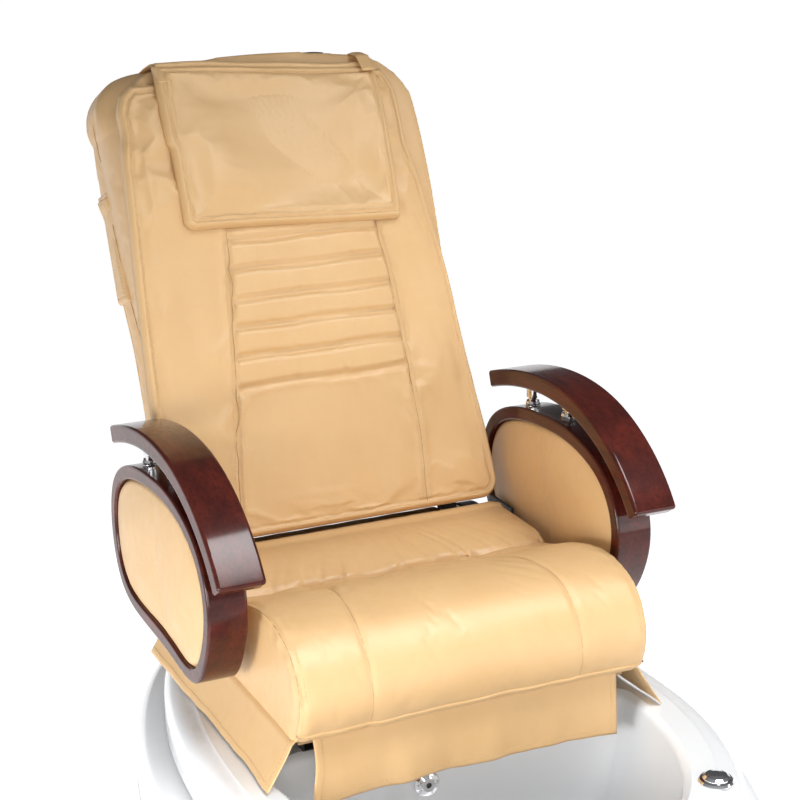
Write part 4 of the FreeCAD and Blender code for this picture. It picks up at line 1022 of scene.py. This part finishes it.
carve(shell, shell_depth)
subdivide(shell)
shell_skin = surface_of(shell)
seam_shade_line("body_side_seam_shade", [side_seam], shell_skin, "backrest", 0.0010)
rear_path, rear_normals = on_surface(rear_seam, shell_skin, 0.0010, 260)
calm(rear_path, 12)
calm(rear_normals, 12)
tube("body_rear_welt", rear_path, 0.0032, leather_painted_shade, "backrest", normals=rear_normals)
stitching("body_side_stitches", [body_edge(lambda s: side_seam_depth(s) - 0.0065)], shell_skin, thread, "backrest")
cross = np.stack([back_place(x, BODY_DEPTH + 0.01, s) for x, s in zip(np.linspace(-0.235, 0.235, 40), [0.294] * 40)])
down = np.stack([back_place(x, BODY_DEPTH + 0.01, s) for x, s in zip([0.006] * 50, np.linspace(0.03, 0.745, 50))])
stitching("body_rear_stitches", [cross, down], shell_skin, thread, "backrest")

# pad and pillow thread
pad_skin, pillow_skin = surface_of(pad), surface_of(pillow)
along = np.linspace(0.006, 0.752, 160)
seams = [pad_place(curve(along, line), along, np.full(160, 0.020)) for line in (LEFT_SEAM, RIGHT_SEAM)]
seam_shade_line("pad_seam_shades", seams, pad_skin, "backrest")
pad_rows = []
for line in (LEFT_SEAM, RIGHT_SEAM):
    for gap in (-0.0050, 0.0050):
        pad_rows.append(pad_place(curve(along, line) + gap, along, np.full(160, 0.022)))
stitching("pad_seam_stitches", pad_rows, pad_skin, thread, "backrest")
stitching("pad_hem_stitches", [inset_path(pad_outline, 0.0135, pad_place, 0.020)], pad_skin, thread, "backrest")
rib_rows = []
for at in CHANNELS:
    across = np.linspace(0.006, 0.994, 60)
    lo, hi = curve(np.array([at]), LEFT_SEAM)[0], curve(np.array([at]), RIGHT_SEAM)[0]
    x = lo + (hi - lo) * across
    rib_rows.append(pad_place(x, at + channel_wander(x, at), np.full(60, 0.016)))
stitching("pad_channel_stitches", rib_rows, pad_skin, thread, "backrest", length=0.0036, radius=0.00042)
stitching("pillow_hem_stitches", [inset_path(pillow_outline, 0.0140, pillow_place, 0.026)], pillow_skin, thread,
          "backrest")
low_x = np.linspace(-0.184, 0.160, 60)
stitching("pillow_lower_stitches", [pillow_place(low_x, np.full(60, PILLOW_SPAN[0] + 0.0215), np.full(60, 0.028))],
          pillow_skin, thread, "backrest")

# rolled hem tube along the pillow flap's upper edge, and the strap at its left end
top_x = np.linspace(-0.194, 0.193, 90)
top_path = pillow_place(top_x, np.full(90, 0.786) + 0.0012 * np.sin(top_x * 41), np.full(90, 0.010))
tube("pillow_top_hem", top_path, 0.0072, leather, "backrest", sides=14)
STRAP = [(-0.188, -0.036, 0.752), (-0.188, -0.027, 0.781), (-0.187, -0.008, 0.7915), (-0.186, 0.025, 0.7935),
         (-0.186, 0.060, 0.7925), (-0.186, 0.105, 0.789)]


def ribbon(name, spots, width, thick, material, across=(1, 0, 0)):
    """Flat strap along back coordinates, with stitched-looking rounded edges."""
    centre = np.array([back_place(x, d + face_depth(min(s, 0.79)), s) for x, d, s in spots]).reshape(-1, 3)
    centre = resample(centre, 60)
    return tube(name, centre, width / 2, material, "backrest", sides=16, flat=thick / width,
                normals=np.cross(np.gradient(centre, axis=0), np.array(across)))


ribbon("pillow_strap_right", STRAP, 0.024, 0.0045, leather)
ribbon("pillow_strap_left", [(-x - 0.012, d, s - 0.004) for x, d, s in STRAP], 0.024, 0.0045, leather)
ribbon("pillow_hook_tape", [(0.105, 0.012, 0.797), (0.105, 0.035, 0.8035), (0.105, 0.060, 0.806)], 0.040, 0.0030,
       velcro)


# ---- skirts ----------------------------------------------------------------
def both_sides(rows, columns, quads):
    """Faces of a thin closed sheet: the front grid, the back grid and the wall round their edge."""
    count = rows * columns
    faces = quads.tolist() + (quads[:, ::-1] + count).tolist()
    edge = list(range(columns)) + [r * columns + columns - 1 for r in range(1, rows)]
    edge += [(rows - 1) * columns + c for c in range(columns - 2, -1, -1)]
    edge += [r * columns for r in range(rows - 2, 0, -1)]
    for a, b in zip(edge, edge[1:] + edge[:1]):
        faces.append([b, a, a + count, b + count])
    return faces


def thin_sheet(name, place, rows, columns, body, node, hem=0.0011, thick=0.0014):
    """Sheet of leather with folded hems on its free edges: place(u, v) with v = 1 at the hanging edge."""
    u, v = np.meshgrid(np.linspace(0, 1, columns), np.linspace(0, 1, rows))
    middle = place(u.ravel(), v.ravel())
    quads = grid_faces(rows, columns)
    normal = normals_of(middle, quads)
    grid = middle.reshape(rows, columns, 3)
    width = np.linalg.norm(np.diff(grid, axis=1), axis=2).sum(1).mean()
    length = np.linalg.norm(np.diff(grid, axis=0), axis=2).sum(0).mean()
    gap = np.minimum((1 - v) * length, np.minimum(u, 1 - u) * width).ravel()
    half = thick / 2 + hem / 2 * smooth((0.0125 - gap) / 0.002) * smooth(gap / 0.0015)
    edge = (u == 0) | (u == 1) | (v == 0) | (v == 1)
    half[edge.ravel()] *= 0.6
    front = middle + normal * half[:, None]
    rear = middle - normal * half[:, None]
    piece = make(name, np.vstack([front, rear]), both_sides(rows, columns, quads), leather, body)
    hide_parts(node)
    return piece, width, length


def front_place(u, v):
    x = -0.2525 + 0.505 * u
    x = x + 0.0055 * np.sin(v * 5.5) * smooth((0.10 - u) / 0.1) * v
    flat = np.stack([x, v * 0.03, x * 0], -1)
    wave = 0.0062 * v * noise(flat, 0.11, 61) + 0.0026 * v**2 * noise(flat, 0.045, 62)
    lean = 0.010 * v * smooth((0.12 - u) / 0.12) + 0.0045 * v * smooth((x - 0.11) / 0.06)
    y = HIP_Y - 0.4575 - 0.0040 * v - wave - lean
    y = y + 0.010 * smooth((0.08 - v) / 0.08)
    return np.stack([x, y, 0.5600 - 0.1080 * v + 0.0016 * noise(flat, 0.09, 63) * v], -1)


def side_place(side):
    def place(u, v):
        y = HIP_Y - 0.468 + 0.527 * u
        flare = 1 + 0.10 * smooth((0.12 - u) / 0.12)
        x = 0.2790 + 0.0060 * smooth(v / 0.12) + (0.0125 * np.sin(v * math.pi / 2) + 0.0265 * v**1.6) * flare
        flat = np.stack([y, v * 0.02, y * 0], -1)
        x = x + 0.0030 * v * noise(flat, 0.14, 64 + side) + 0.0012 * v * noise(flat, 0.05, 66)
        z = 0.5620 - 0.0727 * v + 0.0010 * noise(flat, 0.1, 67) * v
        return np.stack([side * x, y - 0.006 * v * smooth((0.08 - u) / 0.08), z], -1)
    return place


skirt, width, length = thin_sheet("front_skirt_cloth", front_place, 30, 150, "seat", "front_skirt")
skirt_skin = surface_of(skirt)
u = np.linspace(0.012, 0.988, 120)
inset_v = np.full(120, 1 - 0.0115 / length)
rows = [front_place(u, inset_v) - np.array([0, 0.004, 0])]
for end in (0.0115 / width, 1 - 0.0115 / width):
    v = np.linspace(0.05, 0.93, 40)
    rows.append(front_place(np.full(40, end), v) - np.array([0, 0.004, 0]))
stitching("front_skirt_stitches", rows, skirt_skin, thread, "seat")
for side, word in ((1, "left"), (-1, "right")):
    place = side_place(side)
    flap, width, length = thin_sheet(f"side_skirt_{word}_cloth", place, 22, 150, "seat", f"side_skirt_{word}")
    out = np.array([side * 0.004, 0, 0.001])
    rows = [place(u, np.full(120, 1 - 0.0115 / length)) + out]
    rows.append(place(np.full(30, 0.0115 / width), np.linspace(0.08, 0.9, 30)) + out)
    stitching(f"side_skirt_{word}_stitches", rows, surface_of(flap), thread, "seat")

# ---- remote pocket ---------------------------------------------------------
POCKET_SPAN = (0.414, 0.598)


def pocket_place(depth, s, h):
    return back_place(-(0.2608 + h), depth, s)


def pocket_height(depth, s, d):
    open_end = smooth((s - 0.555) / 0.04)
    h = 0.004 + rolled(d, 0.014, 0.0105 + 0.0085 * open_end)
    h -= 0.0020 * bell(d - 0.0105, 0.003)
    return h + 0.0010 * smooth(d / 0.02) * noise(np.stack([depth, s, s * 0], -1), 0.05, 71)


pocket, pocket_outline = panel("remote_pocket_cover", lambda s: 0.126 + 0.012 * (s - 0.41) / 0.19,
                               lambda s: 0.190 + 0.006 * (s - 0.41) / 0.19, POCKET_SPAN, pocket_place, pocket_height,
                               leather_painted_shade, "backrest", 64, 26)
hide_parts("remote_pocket")
stitching("pocket_stitches", [inset_path(pocket_outline, 0.0105, pocket_place, 0.014)], surface_of(pocket), thread,
          "backrest", length=0.0036)
mouth = pocket_place(np.linspace(0.142, 0.192, 24), np.full(24, 0.5985), np.full(24, 0.0130))
tube("pocket_mouth_hem", mouth, 0.0038, leather_painted_shade, "backrest", sides=12)

# ---- dust cloth under the backrest, rolled about its hinge -----------------
HINGE_Z = 0.566
ROLL_R = 0.0932
DUST_HALF = 0.197
COVER_X = (0.236, 0.270)


def hinge_roll(name, x0, x1, degrees, columns, thick, material, ripple=0.0):
    """Thin curved sheet about the backrest's hinge line, between two values of x."""
    rows = 60
    turn = np.radians(np.linspace(degrees[0], degrees[1], rows))
    angle, across = np.meshgrid(turn, np.linspace(x0, x1, columns), indexing="ij")
    reach = ROLL_R - ripple * (1 + np.sin(across * 90) * np.sin(angle * 5))
    outside = np.stack([across.ravel(), (HIP_Y + 0.038 + reach * np.sin(angle)).ravel(),
                        (HINGE_Z + reach * np.cos(angle)).ravel()], -1)
    quads = grid_faces(rows, columns)
    inside = outside - normals_of(outside, quads) * thick
    return make(name, np.vstack([outside, inside]), both_sides(rows, columns, quads), material, "seat")


dust = hinge_roll("seat_dust_cloth", -DUST_HALF, DUST_HALF, (-28, 72), 60, 0.0012, leather_painted_shade, 0.0003)
for side, word in ((1, "left"), (-1, "right")):
    x0, x1 = sorted((side * COVER_X[0], side * COVER_X[1]))
    hinge_roll(f"hinge_cover_{word}", x0, x1, (-26, 60), 14, 0.0022, slot_materials["black_plastic"])


# ---- stage, light and camera -----------------------------------------------
def studio_floor():
    """White studio floor that runs far out of view."""
    xs = np.linspace(-60, 60, 13)
    points = np.array([[x, y, 0.0] for y in xs for x in xs])
    mesh = bpy.data.meshes.new("studio_floor")
    mesh.from_pydata(points.tolist(), [], grid_faces(13, 13).tolist())
    material, tree, place = start("studio_paper")
    colour = between(tree, cloudy(tree, place, 1.5), (0.88, 0.88, 0.88), (0.91, 0.91, 0.91))
    bump = add(tree, "Bump", Strength=0.05, Distance=0.001, Height=cloudy(tree, place, 200.0))
    finish_with(tree, colour, spread(tree, cloudy(tree, place, 4.0), 0.3, 0.7, 0.75, 0.9), bump.outputs[0],
                Emission_Color=(1, 1, 1, 1), Emission_Strength=0.80)
    mesh.materials.append(material)
    piece = bpy.data.objects.new("studio_floor", mesh)
    bpy.context.scene.collection.objects.link(piece)


VIEW = Vector((0.403, 0.864, -0.303)).normalized()
CAMERA_AT = Vector((-1.2154, HIP_Y - 2.8276, 1.873))
ROLL = math.radians(-0.402)


def area_light(name, at, toward, width, height, power, tint=(1, 1, 1), spread_degrees=180):
    light = bpy.data.lights.new(name, "AREA")
    light.spread = math.radians(spread_degrees)
    light.shape = "RECTANGLE"
    light.size = width
    light.size_y = height
    light.energy = power
    light.color = tint
    lamp = bpy.data.objects.new(name, light)
    bpy.context.scene.collection.objects.link(lamp)
    lamp.location = at
    lamp.rotation_euler = (Vector(toward) - Vector(at)).to_track_quat("-Z", "Y").to_euler()


studio_floor()
area_light("key", (-1.1, -2.6, 1.05), (0, -0.30, 0.40), 1.9, 1.1, 5.4, (1.0, 0.985, 0.96), 75)
area_light("fill", (2.4, -2.4, 1.0), (0, 0, 0.5), 1.8, 1.4, 17)
area_light("top", (0.5, -1.2, 3.0), (0, -0.40, 0.4), 1.7, 1.2, 13, (1, 1, 1), 70)
area_light("tub_left", (-2.4, -1.0, 0.75), (-0.35, -0.1, 0.20), 1.2, 0.8, 7, (1, 1, 1), 60)
world = bpy.data.worlds.new("studio")
bpy.context.scene.world = world
world.use_nodes = True
sky = world.node_tree
aim = sky.nodes.new("ShaderNodeTexCoord").outputs["Generated"]
toward = add(sky, "VectorMath", {"operation": "DOT_PRODUCT"})
sky.links.new(aim, toward.inputs[0])
toward.inputs[1].default_value = VIEW
ahead = spread(sky, toward.outputs["Value"], -0.9, 0.6, 0.0, 1.0)
glow = between(sky, ahead, (0.74, 0.74, 0.75), (0.16, 0.16, 0.165))
height = add(sky, "SeparateXYZ", Vector=aim).outputs["Z"]
glow = between(sky, spread(sky, height, 0.03, 0.08, 0.0, 1.0), (1.9, 1.9, 1.9), glow)
sky.links.new(glow, sky.nodes["Background"].inputs[0])
sky.nodes["Background"].inputs[1].default_value = 0.55

camera_data = bpy.data.cameras.new("camera")
camera_data.sensor_width = 36
camera_data.lens = 89.04
camera = bpy.data.objects.new("camera", camera_data)
bpy.context.scene.collection.objects.link(camera)
right = VIEW.cross(Vector((0, 0, 1))).normalized()
up = right.cross(VIEW)
tilted_right = right * math.cos(ROLL) + up * math.sin(ROLL)
tilted_up = up * math.cos(ROLL) - right * math.sin(ROLL)
camera.matrix_world = Matrix.Translation(CAMERA_AT) @ Matrix((tilted_right, tilted_up, -VIEW)).transposed().to_4x4()
bpy.context.scene.camera = camera
bpy.context.scene.view_settings.view_transform = "Standard"
